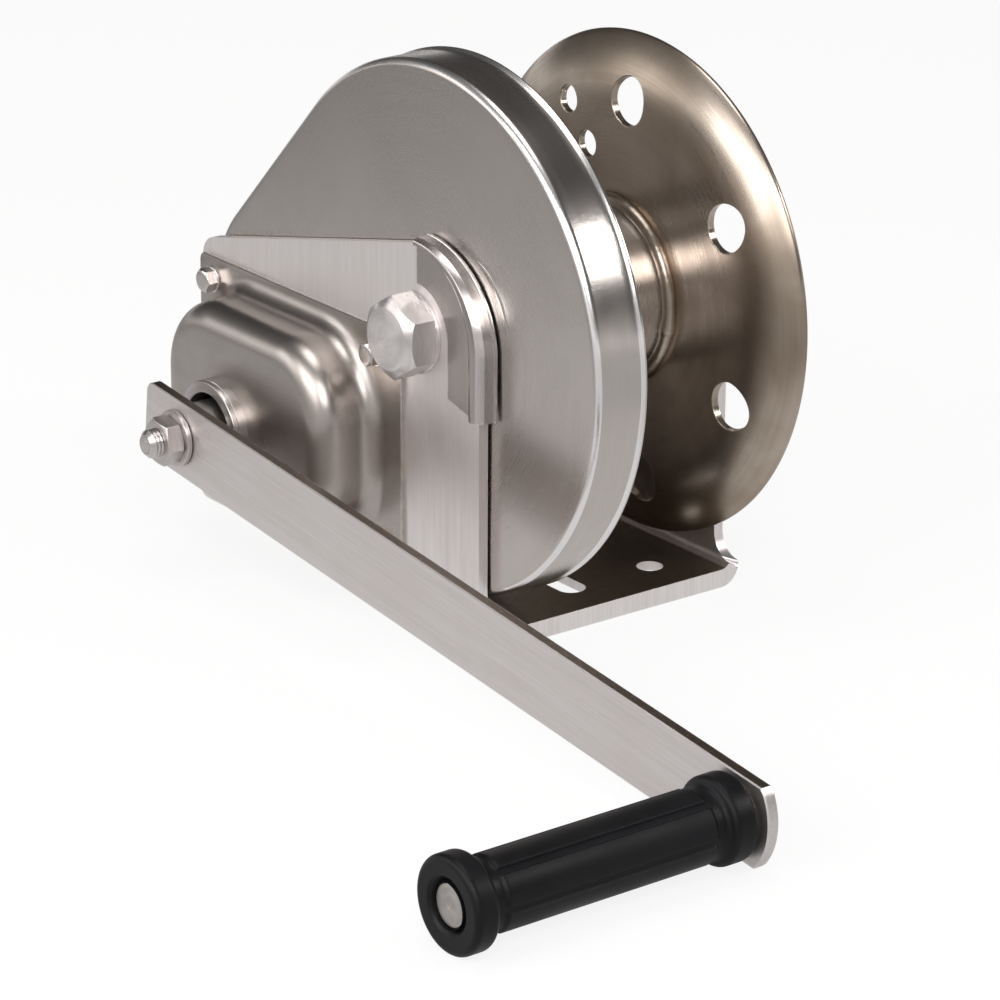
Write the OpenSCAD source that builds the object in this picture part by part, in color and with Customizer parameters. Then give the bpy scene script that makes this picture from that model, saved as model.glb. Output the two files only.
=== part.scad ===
// Brake hand winch: a folded frame, a geared rope drum, a load brake under a drawn
// cover, and a flat crank with a free-turning grip.
// +X runs along the drum axis away from the crank, +Y towards the drive shaft, +Z up.
// The origin is the middle of the base's underside.

/* [Drum] */
// Radius of the drum flanges
flange_r = 95; // [85:1:105]
// Outer radius of the barrel that the rope winds on
barrel_r = 32; // [28:1:40]
// Wall of the barrel tube
barrel_wall = 4; // [3:0.5:6]
// Sheet thickness of the drum flanges
drum_sheet = 3; // [2:0.5:4]
// Distance between the flanges at the barrel
rope_w = 67.5; // [55:0.5:90]
// Radius of the flat middle of the right flange, where its flare starts
flat_r = 70; // [66:1:74]
// Bend radius of the flare, at the middle of the sheet
flare_r = 33.5; // [31:0.5:45]
// Radius of the fillet weld between the barrel and each flange
weld_r = 5; // [3:0.5:8]
// Number of large holes in the right flange
flange_holes = 6; // [4:1:8]
// Diameter of the large holes in the right flange
flange_hole_d = 20; // [14:1:24]
// Radius of the circle that the large holes lie on
flange_hole_circle = 66; // [58:1:68]
// Diameter of the two rope clamp holes
clamp_hole_d = 11.5; // [8:0.5:13]
// Distance of the inner rope clamp hole from the drum axis
clamp_r = 58; // [54:1:62]
// Distance between the two rope clamp holes
clamp_pitch = 19; // [16:1:22]
// Angle of the rope clamp holes above the front
clamp_angle = 127; // [120:1:134]

/* [Gears] */
// Tooth size of the gear pair
gear_m = 2.5; // [2.3:0.05:2.55]
// Teeth on the drum gear
gear_z = 73; // [72:1:74]
// Teeth on the pinion
pinion_z = 12; // [12:1:13]
// Width of the drum gear
gear_w = 12; // [8:1:16]
// Number of lightening holes in the drum gear
gear_holes = 6; // [4:1:7]
// Diameter of the lightening holes in the drum gear
gear_hole_d = 26; // [18:1:30]
// Play between the gear teeth at the pitch circle
backlash = 0.25; // [0.15:0.05:0.4]
// Angle of the drive shaft below the drum axis, seen from the drum axis
shaft_dir = 32; // [30:1:34]

/* [Frame] */
// Thickness of the two side plates
plate_t = 4; // [3:0.5:5]
// Thickness of the base
base_t = 7; // [5:0.5:9]
// Outer bend radius between the base and the side plates
bend_r = 8; // [6:0.5:10]
// Gap between the gear cover and the base
base_gap = 1.5; // [1:0.5:5]
// Gap between the rim of the right flange and the right side plate
right_gap = 9; // [8:0.5:16]
// Distance of the side plates' front edge from the drum axis, and their corner radius
front_reach = 34; // [30:1:36]
// Distance of the side plates' rear edge from the drum axis
rear_reach = 128; // [127:1:136]
// Distance of the base's front edge from the drum axis
base_front = 48; // [46:1:56]
// Distance of the base's rear edge from the drum axis
base_rear = 132; // [131:1:142]
// Fall of the side plates' top edge towards the rear, in degrees
top_fall = 15; // [12:1:18]
// Radius of the side plates' rear top corner
rear_corner_r = 14; // [8:1:20]

/* [Base holes] */
// Width of the long base slots
slot_w = 11; // [8:0.5:12]
// Length of the long base slots
slot_l = 30; // [24:1:36]
// Distance of the slots from the left plate's outer face
slot_x = 45; // [40:1:50]
// Distance of the slot centres from the base's front and rear edges
slot_inset = 30; // [26:1:36]
// Diameter of the round base holes
base_hole_d = 10; // [7:0.5:12]
// Distance of the round holes from the left plate's outer face
base_hole_x = 82; // [76:1:88]
// Distance of the round holes from the base's front and rear edges
base_hole_inset = 21; // [16:1:26]

/* [Gear cover] */
// Sheet thickness of the gear cover
cover_t = 1.5; // [1:0.25:2]
// Gap between the drum flange and the gear cover's wall
cover_gap = 2; // [1.5:0.5:4]
// Radius of the gear cover's face edge
cover_edge_r = 6; // [3:0.5:8]
// Width of the lip round the gear cover's open side
lip_w = 1.2; // [0.6:0.2:2]
// Height of the cover's rear arc below the drum axis
tail_drop = 10; // [6:1:14]

/* [Brake cover] */
// Sheet thickness of the brake cover
box_t = 1.5; // [1:0.25:2]
// Height of the brake cover's face above the side plate
box_h = 22; // [21.5:0.5:26]
// Radius of the brake cover's face edge
box_edge_r = 10; // [7:0.5:10.5]
// Radius of the blend from the brake cover's wall to its rim
box_foot_r = 9; // [6:0.5:9.5]
// Corner radius of the brake cover's flat face
box_corner_r = 10; // [6:1:12]
// Distance of the brake cover's rim below the drum axis
box_top = 5; // [4:0.5:6]
// Outer radius of the ring round the shaft opening
ring_r = 19; // [17:0.5:20]
// Radius of the shaft opening
ring_bore_r = 14.5; // [13:0.5:15]
// Height of the ring above the cover's face
ring_h = 9; // [6:0.5:12]

/* [Brake] */
// Radius of the brake discs
disc_r = 21; // [18:0.5:22]
// Thickness of each friction disc
disc_t = 2.2; // [1.5:0.1:2.4]
// Thickness of the ratchet wheel
ratchet_t = 5.5; // [4:0.5:5.5]
// Radius over the ratchet teeth
ratchet_r = 25; // [24:0.5:26]
// Depth of the ratchet teeth
ratchet_depth = 4.5; // [3:0.5:5]
// Thickness of the pressure plates on both sides of the ratchet
press_t = 3; // [2:0.25:3.25]
// Radius of the pawl pin
pawl_pin_r = 4; // [3:0.5:5]

/* [Shaft and bolts] */
// Radius of the drive shaft in its bushes
shaft_r = 9; // [8:0.5:10]
// Radius of the drive shaft's threaded part
thread_r = 8; // [7:0.25:8.5]
// Radius of the threaded stud at the crank
stud_r = 5; // [4:0.5:6]
// Radius of the bolt that carries the drum
bolt_r = 10; // [8:0.5:11]
// Width across flats of the drum bolt's head
bolt_af = 30; // [28:1:32]
// Height of the drum bolt's head
bolt_head_h = 13; // [10:0.5:14]
// Wall of the bearing bushes
bush_t = 2.5; // [2:0.25:3]
// Radial play of the running fits
run_fit = 0.06; // [0.04:0.01:0.1]

/* [Crank] */
// Distance between the shaft axis and the grip axis
crank_l = 325; // [280:5:360]
// Width of the crank's flat bar
arm_w = 30; // [28:1:34]
// Thickness of the crank's flat bar
arm_t = 5; // [4:0.5:7]
// Length of the bar beyond the shaft axis
arm_tail = 16; // [14:1:20]
// Length of the bar beyond the grip axis
arm_nose = 17; // [15:1:22]
// Distance from the brake cover's ring to the crank's bar
arm_gap = 8.6; // [5:0.2:14]
// Side of the square that turns the crank
square_w = 16; // [14.5:0.5:17]

/* [Grip] */
// Length of the grip
grip_l = 110; // [90:1:130]
// Radius of the grip's end flanges
grip_flange_r = 16.5; // [15:0.5:19]
// Radius of the grip between its flanges, under the raised panels
grip_body_r = 12; // [11:0.5:13]
// Height of the raised panels on the grip
panel_h = 0.9; // [0.5:0.1:1.5]
// Number of raised panels round the grip
panels = 6; // [4:1:8]
// Width of each end flange of the grip
grip_flange_w = 9; // [6:0.5:12]
// Radius of the steel pin in the grip
grip_pin_r = 7.7; // [6:0.1:8.5]

/* [Hidden] */
$fn = 96;
// Small gaps: between bodies that turn on each other, and in seats of one body
run_gap = 0.3;
seat_gap = 0.02;
eps = 0.01;

// Gear pair
pressure_angle = 25;
gear_rp = gear_m * gear_z / 2;
gear_tip_r = gear_rp + 0.8 * gear_m;
pinion_rp = gear_m * pinion_z / 2;
pinion_tip_r = pinion_rp + 0.8 * gear_m;
centre_dist = gear_rp + pinion_rp;
// Drive shaft, measured from the drum axis
shaft_dy = centre_dist * cos(shaft_dir);
shaft_dz = -centre_dist * sin(shaft_dir);

// Gear cover outline: one large arc round the drum and two arcs at the rear
cover_r = max(flange_r, gear_tip_r) + cover_gap + cover_t;
tail_r = rear_reach - shaft_dy;
tail_1 = [shaft_dy, -tail_drop];
tail_2 = [shaft_dy, tail_r - cover_r];
tail_n = atan2(tail_1[1], tail_1[0]) + acos((cover_r - tail_r) / norm(tail_1));

// Places along X, first from the left plate's outer face, where x = 0
x_cover = plate_t;
x_gear = x_cover + cover_t + 4.5;
x_flange = x_gear + gear_w;
x_rope = x_flange + drum_sheet;
x_root = x_rope + rope_w;
flare_a = asin((flange_r - drum_sheet / 2 - flat_r) / flare_r);
x_rim = x_root + drum_sheet + flare_r * (1 - cos(flare_a));
x_plate = round(10 * (x_rim + right_gap)) / 10;
frame_w = x_plate + plate_t;
hub_len = 2.5;
bush_lip = 2;
x_hub = x_root + drum_sheet + hub_len;
cover_depth = x_rope - x_cover + 1;

// Places of the drum axis and the drive shaft in the part's frame
drum_z = base_t + base_gap + cover_r + lip_w;
drum_y = (base_front - base_rear) / 2;
shaft_y = drum_y + shaft_dy;
shaft_z = drum_z + shaft_dz;
x_left = -frame_w / 2;

// Brake stack, outwards from the left plate
brake_0 = 1.5 + run_gap;
brake_1 = brake_0 + press_t;
disc_0 = brake_1 + run_gap;
ratchet_0 = disc_0 + disc_t;
ratchet_1 = ratchet_0 + ratchet_t;
disc_1 = ratchet_1 + disc_t;
hub_0 = disc_1 + run_gap;
hub_1 = hub_0 + press_t;
// The cover's face rises with the stack under it
box_face = max(box_h, hub_1 + 2 + box_t);
arm_0 = box_face + ring_h + arm_gap;
arm_1 = arm_0 + arm_t;
nut_0 = arm_1 + run_gap + 2;
nut_1 = nut_0 + 1.6 * stud_r;
stud_end = nut_1 + 4;

// Brake cover: its flat face and its rim, measured from the drum axis
box_run = box_edge_r + box_foot_r;
box_y0 = shaft_dy - 43;
box_y1 = rear_reach - 1 - box_run;
box_z1 = -box_top - 3 - box_run;
box_z0 = -(drum_z - base_t - 4) + 3 + box_run;
rim_y0 = 10;
rim_z0 = -(drum_z - base_t - 4);
screw_places = [[24, -box_top - 10], [rear_reach - 7, -box_top - 8],
  [24, rim_z0 + 8], [rear_reach - 7, rim_z0 + 8]];

// Pawl: it lies on a tangent to the ratchet's tooth circle
pawl_l = 31.5;
pawl_touch_r = ratchet_r - 2.5;
pawl_n = 98;
pawl_y = shaft_dy + pawl_touch_r * cos(pawl_n) - pawl_l * cos(pawl_n - 90);
pawl_z = shaft_dz + pawl_touch_r * sin(pawl_n) - pawl_l * sin(pawl_n - 90);

// Crank: it hangs down far enough for the grip to rest on the base's level
crank_drop = asin((shaft_z - grip_flange_r) / crank_l);
grip_y = shaft_y - crank_l * cos(crank_drop);
grip_z = grip_flange_r;
grip_0 = arm_1 + 1.5 + run_gap;
grip_1 = grip_0 + grip_l;

// Stands a profile drawn in Y and Z upright and places it at x from the left plate
module at(x, y = drum_y, z = drum_z) {
  translate([x_left + x, y, z]) rotate([90, 0, 90]) children();
}

// Rod or tube along X, between two places measured from the left plate
module rod(x0, x1, r, bore = 0) {
  at(x0) difference() {
    cylinder(h = x1 - x0, r = r);
    if (bore > 0) translate([0, 0, -1]) cylinder(h = x1 - x0 + 2, r = bore);
  }
}

// The same round the drive shaft, with places counted outwards from the left plate
module out_rod(s0, s1, r, bore = 0, y = shaft_y, z = shaft_z) {
  at(-s1, y, z) difference() {
    cylinder(h = s1 - s0, r = r);
    if (bore > 0) translate([0, 0, -1]) cylinder(h = s1 - s0 + 2, r = bore);
  }
}

// Bar along Z with rounded corners
module round_bar(x0, y0, x1, y1, r, h) {
  translate([x0 + r, y0, 0]) cube([x1 - x0 - 2 * r, y1 - y0, h]);
  translate([x0, y0 + r, 0]) cube([x1 - x0, y1 - y0 - 2 * r, h]);
  for (x = [x0 + r, x1 - r], y = [y0 + r, y1 - r]) translate([x, y, 0]) cylinder(h = h, r = r);
}

// Hexagonal bolt head or nut with chamfered corners, standing on z = 0
module hex_body(af, h, both = false) {
  rc = af / 2 / cos(30);
  c = rc - af / 2 * 0.97;
  intersection() {
    linear_extrude(h) circle(r = rc, $fn = 6);
    rotate_extrude() polygon([[0, 0], [both ? rc - c : rc, 0], [rc, both ? c * 0.55 : 0],
      [rc, h - c * 0.55], [rc - c, h], [0, h]]);
  }
}

// Involute flank angle
function inv(a) = tan(a) * 180 / PI - a;
// Half angle of a tooth at radius r
function half_tooth(z, r) = 90 / z - backlash / 4 / (gear_m * z / 2) * 180 / PI + inv(pressure_angle)
  - inv(acos(min(1, gear_m * z / 2 * cos(pressure_angle) / r)));
function polar(r, a) = [r * cos(a), r * sin(a)];
// Outline of a spur gear with n points on each flank
function gear_points(z, n) = let(
  rp = gear_m * z / 2,
  ra = rp + 0.8 * gear_m,
  rr = rp - 1.1 * gear_m,
  rs = max(rp * cos(pressure_angle), rr)
) [for (k = [0:z - 1]) each let(a = 360 / z * k) concat(
  [polar(rr, a - half_tooth(z, rs))],
  [for (i = [0:n - 1]) let(r = rs + (ra - rs) * i / (n - 1)) polar(r, a - half_tooth(z, r))],
  [for (i = [n - 1:-1:0]) let(r = rs + (ra - rs) * i / (n - 1)) polar(r, a + half_tooth(z, r))],
  [polar(rr, a + half_tooth(z, rs))]
)];

// Solid in the outline of the side plates, w wide, with the drum axis at the origin
module side_solid(w) {
  n = [sin(top_fall), cos(top_fall)];
  c = [rear_reach - rear_corner_r, (front_reach - rear_corner_r
    - (rear_reach - rear_corner_r) * sin(top_fall)) / cos(top_fall)];
  cylinder(h = w, r = front_reach);
  translate([c[0], c[1], 0]) cylinder(h = w, r = rear_corner_r);
  linear_extrude(w) polygon([[-front_reach, -drum_z], [-front_reach, 0], [0, 0], front_reach * n,
    c + rear_corner_r * n, c, [rear_reach, c[1]], [rear_reach, -drum_z]]);
  mirror([1, 0, 0]) foot_flare(front_reach, base_front, w);
  foot_flare(rear_reach, base_rear, w);
}

// Hollow curve from a side plate's edge out to the end of the base
module foot_flare(inner, outer, w) {
  r = outer - inner;
  h = base_t + 2;
  translate([0, -drum_z, 0]) difference() {
    translate([inner - 5, 0, 0]) cube([r + 5, h + r, w]);
    translate([outer, h + r, -1]) cylinder(h = w + 2, r = r);
  }
}

module base_slot(y) {
  for (s = [-1, 1]) translate([x_left + slot_x, y + s * (slot_l - slot_w) / 2, -1])
    cylinder(h = base_t + 2, d = slot_w);
  translate([x_left + slot_x - slot_w / 2, y - (slot_l - slot_w) / 2, -1])
    cube([slot_w, slot_l - slot_w, base_t + 2]);
}

module frame() {
  h = drum_z + front_reach + 10;
  y_end = (base_front + base_rear) / 2;
  color("silver") difference() {
    intersection() {
      at(0) side_solid(frame_w);
      translate([x_left, y_end + 1, 0]) rotate([90, 0, 0]) difference() {
        round_bar(0, 0, frame_w, h + 20, bend_r, 2 * y_end + 2);
        translate([0, 0, -1]) round_bar(plate_t, base_t, frame_w - plate_t, h + 40,
          max(1, bend_r - plate_t), 2 * y_end + 4);
      }
    }
    for (s = [-1, 1]) {
      base_slot(s * (y_end - slot_inset));
      translate([x_left + base_hole_x, s * (y_end - base_hole_inset), -1])
        cylinder(h = base_t + 2, d = base_hole_d);
    }
    for (x = [0, x_plate]) {
      at(x - 1) cylinder(h = plate_t + 2, r = bolt_r + run_fit);
      at(x - 1, shaft_y, shaft_z) cylinder(h = plate_t + 2, r = shaft_r + bush_t);
    }
    for (p = screw_places) at(-1, drum_y + p[0], drum_z + p[1])
      cylinder(h = plate_t + 2, r = 3 + seat_gap);
    at(-1, drum_y + pawl_y, drum_z + pawl_z) cylinder(h = plate_t + 2, r = pawl_pin_r + seat_gap);
  }
}

// Outline of the gear cover moved inwards by o, counterclockwise round the drum axis
function cover_outline(o) = concat(
  [for (a = [tail_n:(270 - tail_n) / 72:270 - 0.01]) polar(cover_r - o, a)],
  [for (a = [-90:90 / 14:-0.01]) tail_2 + polar(tail_r - o, a)],
  [for (a = [0:tail_n / 8:tail_n - 0.01]) tail_1 + polar(tail_r - o, a)]);

// Gear cover as one drawn shell: each pair gives a distance inwards from the outline and a depth
module cover_shell() {
  n = 8;
  f = cover_edge_r;
  g = f - cover_t;
  steps = concat(
    [for (i = [0:n]) [f - f * sin(90 * i / n), f - f * cos(90 * i / n)]],
    [[0, cover_depth - 1.2], [-lip_w, cover_depth - 1.2], [-lip_w, cover_depth],
      [cover_t, cover_depth]],
    [for (i = [n:-1:0]) [f - g * sin(90 * i / n), f - g * cos(90 * i / n)]]);
  rings = [for (s = steps) cover_outline(s[0])];
  m = len(rings[0]);
  k = len(steps);
  polyhedron(
    points = [for (j = [0:k - 1]) for (q = rings[j]) [q[0], q[1], steps[j][1]]],
    faces = concat([[for (i = [0:m - 1]) i]], [[for (i = [m - 1:-1:0]) (k - 1) * m + i]],
      [for (j = [0:k - 2]) for (i = [0:m - 1]) [j * m + i, (j + 1) * m + i,
        (j + 1) * m + (i + 1) % m, j * m + (i + 1) % m]]));
}

module gear_cover() {
  color("gainsboro") at(x_cover) difference() {
    cover_shell();
    translate([0, 0, -1]) cylinder(h = cover_t + 2, r = bolt_r + run_fit);
    translate([shaft_dy, shaft_dz, -1]) cylinder(h = cover_t + 2, r = shaft_r + bush_t + run_gap);
    rotate([0, 0, 108]) rotate_extrude(angle = 82) translate([front_reach + 15, -1.1]) circle(1.6);
  }
}

// Section of the corner guard: a flat inner strip, a rolled edge and a thin outer lip
module guard_section() {
  n = 9;
  sheet = 1.6;
  r = front_reach + 1;
  c = plate_t + 0.4;
  lip = r + c + sheet + 2.5;
  a0 = acos((c - plate_t + 1) / (c + sheet));
  a1 = acos((c - plate_t) / c);
  polygon(concat([[front_reach - 11.5, -sheet]],
    [for (i = [0:n]) let(a = a0 * i / n) [r + (c + sheet) * sin(a), c - (c + sheet) * cos(a)]],
    [[lip, plate_t - 1], [lip, plate_t]],
    [for (i = [n:-1:0]) let(a = a1 * i / n) [r + c * sin(a), c - c * cos(a)]],
    [[front_reach - 11.5, 0]]));
}

module corner_guard() {
  drop = 25;
  color("gainsboro") at(0) difference() {
    union() {
      rotate([0, 0, 90]) rotate_extrude(angle = 90) guard_section();
      translate([0, -drop, 0]) rotate([0, 0, 180]) rotate([90, 0, 0]) linear_extrude(drop)
        guard_section();
    }
    translate([-front_reach + 11.5, -drop + 5, -5]) rotate([0, 0, -120]) cube([20, 20, 10]);
  }
}

// Section of the brake cover's wall, from the face's edge to its rim
module box_section() {
  n = 9;
  f = box_edge_r;
  g = box_foot_r;
  cx = -box_face + f;
  cf = -g - box_t;
  polygon(concat(
    [for (i = [0:n]) [f * sin(90 * i / n), cx - f * cos(90 * i / n)]],
    [for (i = [0:n]) [box_run - g * cos(90 * i / n), cf + g * sin(90 * i / n)]],
    [for (i = [n:-1:0]) [box_run - (g + box_t) * cos(90 * i / n), cf + (g + box_t) * sin(90 * i / n)]],
    [for (i = [n:-1:0]) [(f - box_t) * sin(90 * i / n), cx - (f - box_t) * cos(90 * i / n)]]));
}

module brake_cover() {
  r = box_corner_r;
  w = box_y1 - box_y0;
  h = box_z1 - box_z0;
  color("gainsboro") at(0) difference() {
    union() {
      // Flat face and rim
      translate([0, 0, -box_face]) round_bar(box_y0, box_z0, box_y1, box_z1, r, box_t);
      translate([0, 0, -box_t]) difference() {
        round_bar(rim_y0, rim_z0, rear_reach, -box_top, 3, box_t);
        translate([0, 0, -1]) round_bar(box_y0 - box_run, box_z0 - box_run, box_y1 + box_run,
          box_z1 + box_run, r + box_run, box_t + 2);
      }
      // Drawn wall: four straight sides and four corners
      translate([box_y0 + r, box_z1, 0]) rotate([90, 0, 90]) linear_extrude(w - 2 * r) box_section();
      translate([box_y1 - r, box_z0, 0]) rotate([90, 0, -90]) linear_extrude(w - 2 * r) box_section();
      translate([box_y1, box_z1 - r, 0]) rotate([90, 0, 0]) linear_extrude(h - 2 * r) box_section();
      translate([box_y0, box_z0 + r, 0]) rotate([90, 0, 180]) linear_extrude(h - 2 * r) box_section();
      for (k = [0:3]) translate([k == 0 || k == 3 ? box_y1 - r : box_y0 + r,
        k < 2 ? box_z1 - r : box_z0 + r, 0]) rotate([0, 0, 90 * k]) rotate_extrude(angle = 90)
        translate([r, 0]) box_section();
      // Ring round the shaft opening
      translate([shaft_dy, shaft_dz, -box_face - ring_h]) rotate_extrude() polygon([[0, ring_h + box_t],
        [ring_r, ring_h + box_t], [ring_r, 4], [ring_r - 1, 4], [ring_r - 1, 0.8], [ring_r - 1.8, 0], [0, 0]]);
    }
    translate([shaft_dy, shaft_dz, -box_face - ring_h - 1]) cylinder(h = ring_h + box_t + 5, r = ring_bore_r);
    translate([0, 0, -box_t - 1]) cylinder(h = box_t + 2, r = bolt_af / 2);
    for (p = screw_places) translate([p[0], p[1], -box_t - 1])
      cylinder(h = box_t + 2, r = 3 + seat_gap);
  }
}

module cover_screws() {
  color("lightgray") for (p = screw_places) at(0, drum_y + p[0], drum_z + p[1]) difference() {
    translate([0, 0, -box_t - 4.2]) rotate_extrude() union() {
      translate([0, 4.2]) square([3, plate_t + box_t]);
      translate([0, 1.2]) square([5, 3]);
      square([3.8, 4.2]);
      translate([3.8, 1.2]) circle(1.2);
    }
    translate([0, 0, -box_t - 5]) linear_extrude(3) circle(r = 2.3, $fn = 6);
  }
}

module drum_bolt() {
  color("silver") at(0) difference() {
    union() {
      translate([0, 0, -box_t]) cylinder(h = x_plate + plate_t + box_t + 2 + 20, r = bolt_r);
      translate([0, 0, -box_t]) rotate([180, 0, 12]) hex_body(bolt_af, bolt_head_h);
    }
    // Chamfered thread end
    translate([0, 0, x_plate + plate_t + 20]) rotate_extrude()
      polygon([[bolt_r - 2, 2.1], [bolt_r + 1, 2.1], [bolt_r + 1, -1]]);
  }
}

module bolt_washers() {
  color("lightgray") {
    rod(-box_t, 0, bolt_af / 2 - 0.2, bolt_r + seat_gap);
    rod(frame_w, frame_w + 3, 1.85 * bolt_r, bolt_r + seat_gap);
  }
}

module drum_nut() {
  color("lightgray") difference() {
    at(frame_w + 3) rotate([0, 0, 8]) hex_body(bolt_af, 16, true);
    at(frame_w + 2) cylinder(h = 20, r = bolt_r + seat_gap);
  }
}

module drum_spacers() {
  color("gray") {
    rod(x_cover + cover_t, x_gear - bush_lip - run_gap, bolt_r + 5, bolt_r + seat_gap);
    rod(x_hub + bush_lip + run_gap, x_plate, bolt_r + 5, bolt_r + seat_gap);
  }
}

// Half section of a bush with bore b and outer radius r: its sleeve runs from y0 to y1 and its
// collar, of radius c, from the sleeve's end to y2
module flanged_bush(b, r, c, y0, y1, y2) {
  e = y2 < y0 ? y0 : y1;
  translate([b, min(y0, y2)]) square([r - b, max(y1, y2) - min(y0, y2)]);
  translate([b, min(e, y2)]) square([c - b, abs(y2 - e)]);
}

module shaft_bushes() {
  r = shaft_r + bush_t;
  b = shaft_r + run_fit;
  color("darkgoldenrod") at(0, shaft_y, shaft_z) {
    rotate_extrude() flanged_bush(b, r - seat_gap, r + 3, 0, x_gear - 1.2 - run_gap, -1.5);
    rotate_extrude() flanged_bush(b, r - seat_gap, r + 3, x_plate, frame_w, x_plate - 1.5);
  }
}

module pawl_pin() {
  y = drum_y + pawl_y;
  z = drum_z + pawl_z;
  r = pawl_pin_r;
  a = ratchet_0 - run_gap;
  b = ratchet_1 + run_gap;
  color("gray") at(0, y, z) rotate_extrude() polygon([[0, -b - 1.5], [r + 1.5, -b - 1.5], [r + 2, -b - 1],
    [r + 2, -b], [r, -b], [r, -a], [r + 2, -a], [r + 2, 0], [r, 0], [r, plate_t], [0, plate_t]]);
}

// Half section of the drum: left flange, barrel, right flange with its flare, and hubs
module drum_section() {
  r_bush = bolt_r + bush_t;
  rim = drum_sheet / 2;
  x0 = x_flange;
  // Left flange with a rounded edge
  translate([r_bush, x0]) square([flange_r - rim - r_bush, drum_sheet]);
  translate([flange_r - rim, x0 + rim]) circle(rim);
  // Barrel and the hubs that hold the bushes
  translate([barrel_r - barrel_wall, x0]) square([barrel_wall, x_root + drum_sheet - x0]);
  translate([r_bush, x0]) square([4.5, 14]);
  translate([r_bush, x_hub - 16]) square([4.5, 16]);
  // Right flange: flat middle, flare and rounded rim
  translate([r_bush, x_root]) square([flat_r - r_bush, drum_sheet]);
  translate([flat_r, x_root + flare_r + rim]) {
    intersection() {
      difference() {
        circle(flare_r + rim);
        circle(flare_r - rim);
      }
      polygon([[0, 0], [0, -2 * flare_r], [2 * flare_r * tan(flare_a), -2 * flare_r]]);
    }
    translate([flare_r * sin(flare_a), -flare_r * cos(flare_a)]) circle(rim);
  }
  // Fillet welds
  translate([barrel_r, x_rope]) difference() {
    square(weld_r);
    translate([weld_r, weld_r]) circle(weld_r);
  }
  translate([barrel_r, x_root - weld_r]) difference() {
    square(weld_r);
    translate([weld_r, 0]) circle(weld_r);
  }
}

module drum() {
  color("silver") difference() {
    at(0) rotate_extrude() drum_section();
    for (k = [0:flange_holes - 1]) at(x_root - 1) rotate([0, 0, 180 - 36 - 360 / flange_holes * k])
      translate([flange_hole_circle, 0]) cylinder(h = 25, d = flange_hole_d);
    for (k = [0, 1]) at(x_root - 1) rotate([0, 0, 180 - clamp_angle])
      translate([clamp_r + k * clamp_pitch, 0]) cylinder(h = 25, d = clamp_hole_d);
  }
}

module drum_gear() {
  color("gray") at(x_gear) rotate([0, 0, -shaft_dir]) difference() {
    linear_extrude(gear_w) polygon(gear_points(gear_z, 3));
    translate([0, 0, -1]) cylinder(h = gear_w + 2, r = bolt_r + bush_t + seat_gap);
    for (k = [0:gear_holes - 1]) rotate([0, 0, 360 / gear_holes * (k + 0.5)])
      translate([(gear_rp + barrel_r) / 2 - 2, 0, -1]) cylinder(h = gear_w + 2, d = gear_hole_d);
  }
}

module drum_bushes() {
  r = bolt_r + bush_t;
  b = bolt_r + run_fit;
  color("darkgoldenrod") at(0) {
    rotate_extrude() flanged_bush(b, r - seat_gap, r + 3, x_gear, x_flange + 14, x_gear - bush_lip);
    rotate_extrude() flanged_bush(b, r - seat_gap, r + 3, x_hub - 16, x_hub, x_hub + bush_lip);
  }
}

module drive_shaft() {
  end = frame_w + 4;
  step = arm_0 - 2;
  color("silver") {
    at(0, shaft_y, shaft_z) rotate_extrude() polygon([[0, -stud_end], [stud_r - 1.5, -stud_end],
      [stud_r, -stud_end + 1.5], [stud_r, -step], [thread_r, -step], [thread_r, -brake_1],
      [shaft_r, -brake_1], [shaft_r, end - 1], [shaft_r - 1, end], [0, end]]);
    at(x_gear - 1.2, shaft_y, shaft_z) rotate([0, 0, 180 - shaft_dir + 180 / pinion_z])
      linear_extrude(gear_w + 0.7) polygon(gear_points(pinion_z, 5));
  }
}

module pressure_plate() {
  color("gray") out_rod(brake_0, brake_1, disc_r, shaft_r + seat_gap);
}

module shaft_circlip() {
  color("dimgray") difference() {
    out_rod(-frame_w - 1.5, -frame_w - run_gap, shaft_r + 3.5, shaft_r + seat_gap);
    at(frame_w - 1, shaft_y, shaft_z) translate([0, -2.5, 0]) cube([shaft_r + 5, 5, 4]);
  }
}

module crank_washer() {
  color("lightgray") out_rod(arm_1 + run_gap, nut_0, 2 * stud_r, stud_r + seat_gap);
}

module crank_nut() {
  color("lightgray") difference() {
    at(-nut_1, shaft_y, shaft_z) rotate([0, 0, 10]) hex_body(3.4 * stud_r, nut_1 - nut_0, true);
    out_rod(nut_0 - 1, nut_1 + 1, stud_r + seat_gap);
  }
}

module ratchet_wheel() {
  n = 12;
  color("gray") at(-ratchet_1, shaft_y, shaft_z) difference() {
    linear_extrude(ratchet_t) rotate([0, 0, pawl_n]) polygon([for (k = [0:n - 1]) each
      [polar(ratchet_r - ratchet_depth, k * 360 / n), polar(ratchet_r, (k + 1) * 360 / n)]]);
    translate([0, 0, -1]) cylinder(h = ratchet_t + 2, r = thread_r + run_fit);
  }
}

module friction_discs() {
  color("saddlebrown") {
    out_rod(disc_0, ratchet_0, disc_r - ratchet_depth / 2, shaft_r + 0.5);
    out_rod(ratchet_1, disc_1, disc_r - ratchet_depth / 2, shaft_r + 0.5);
  }
}

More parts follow.
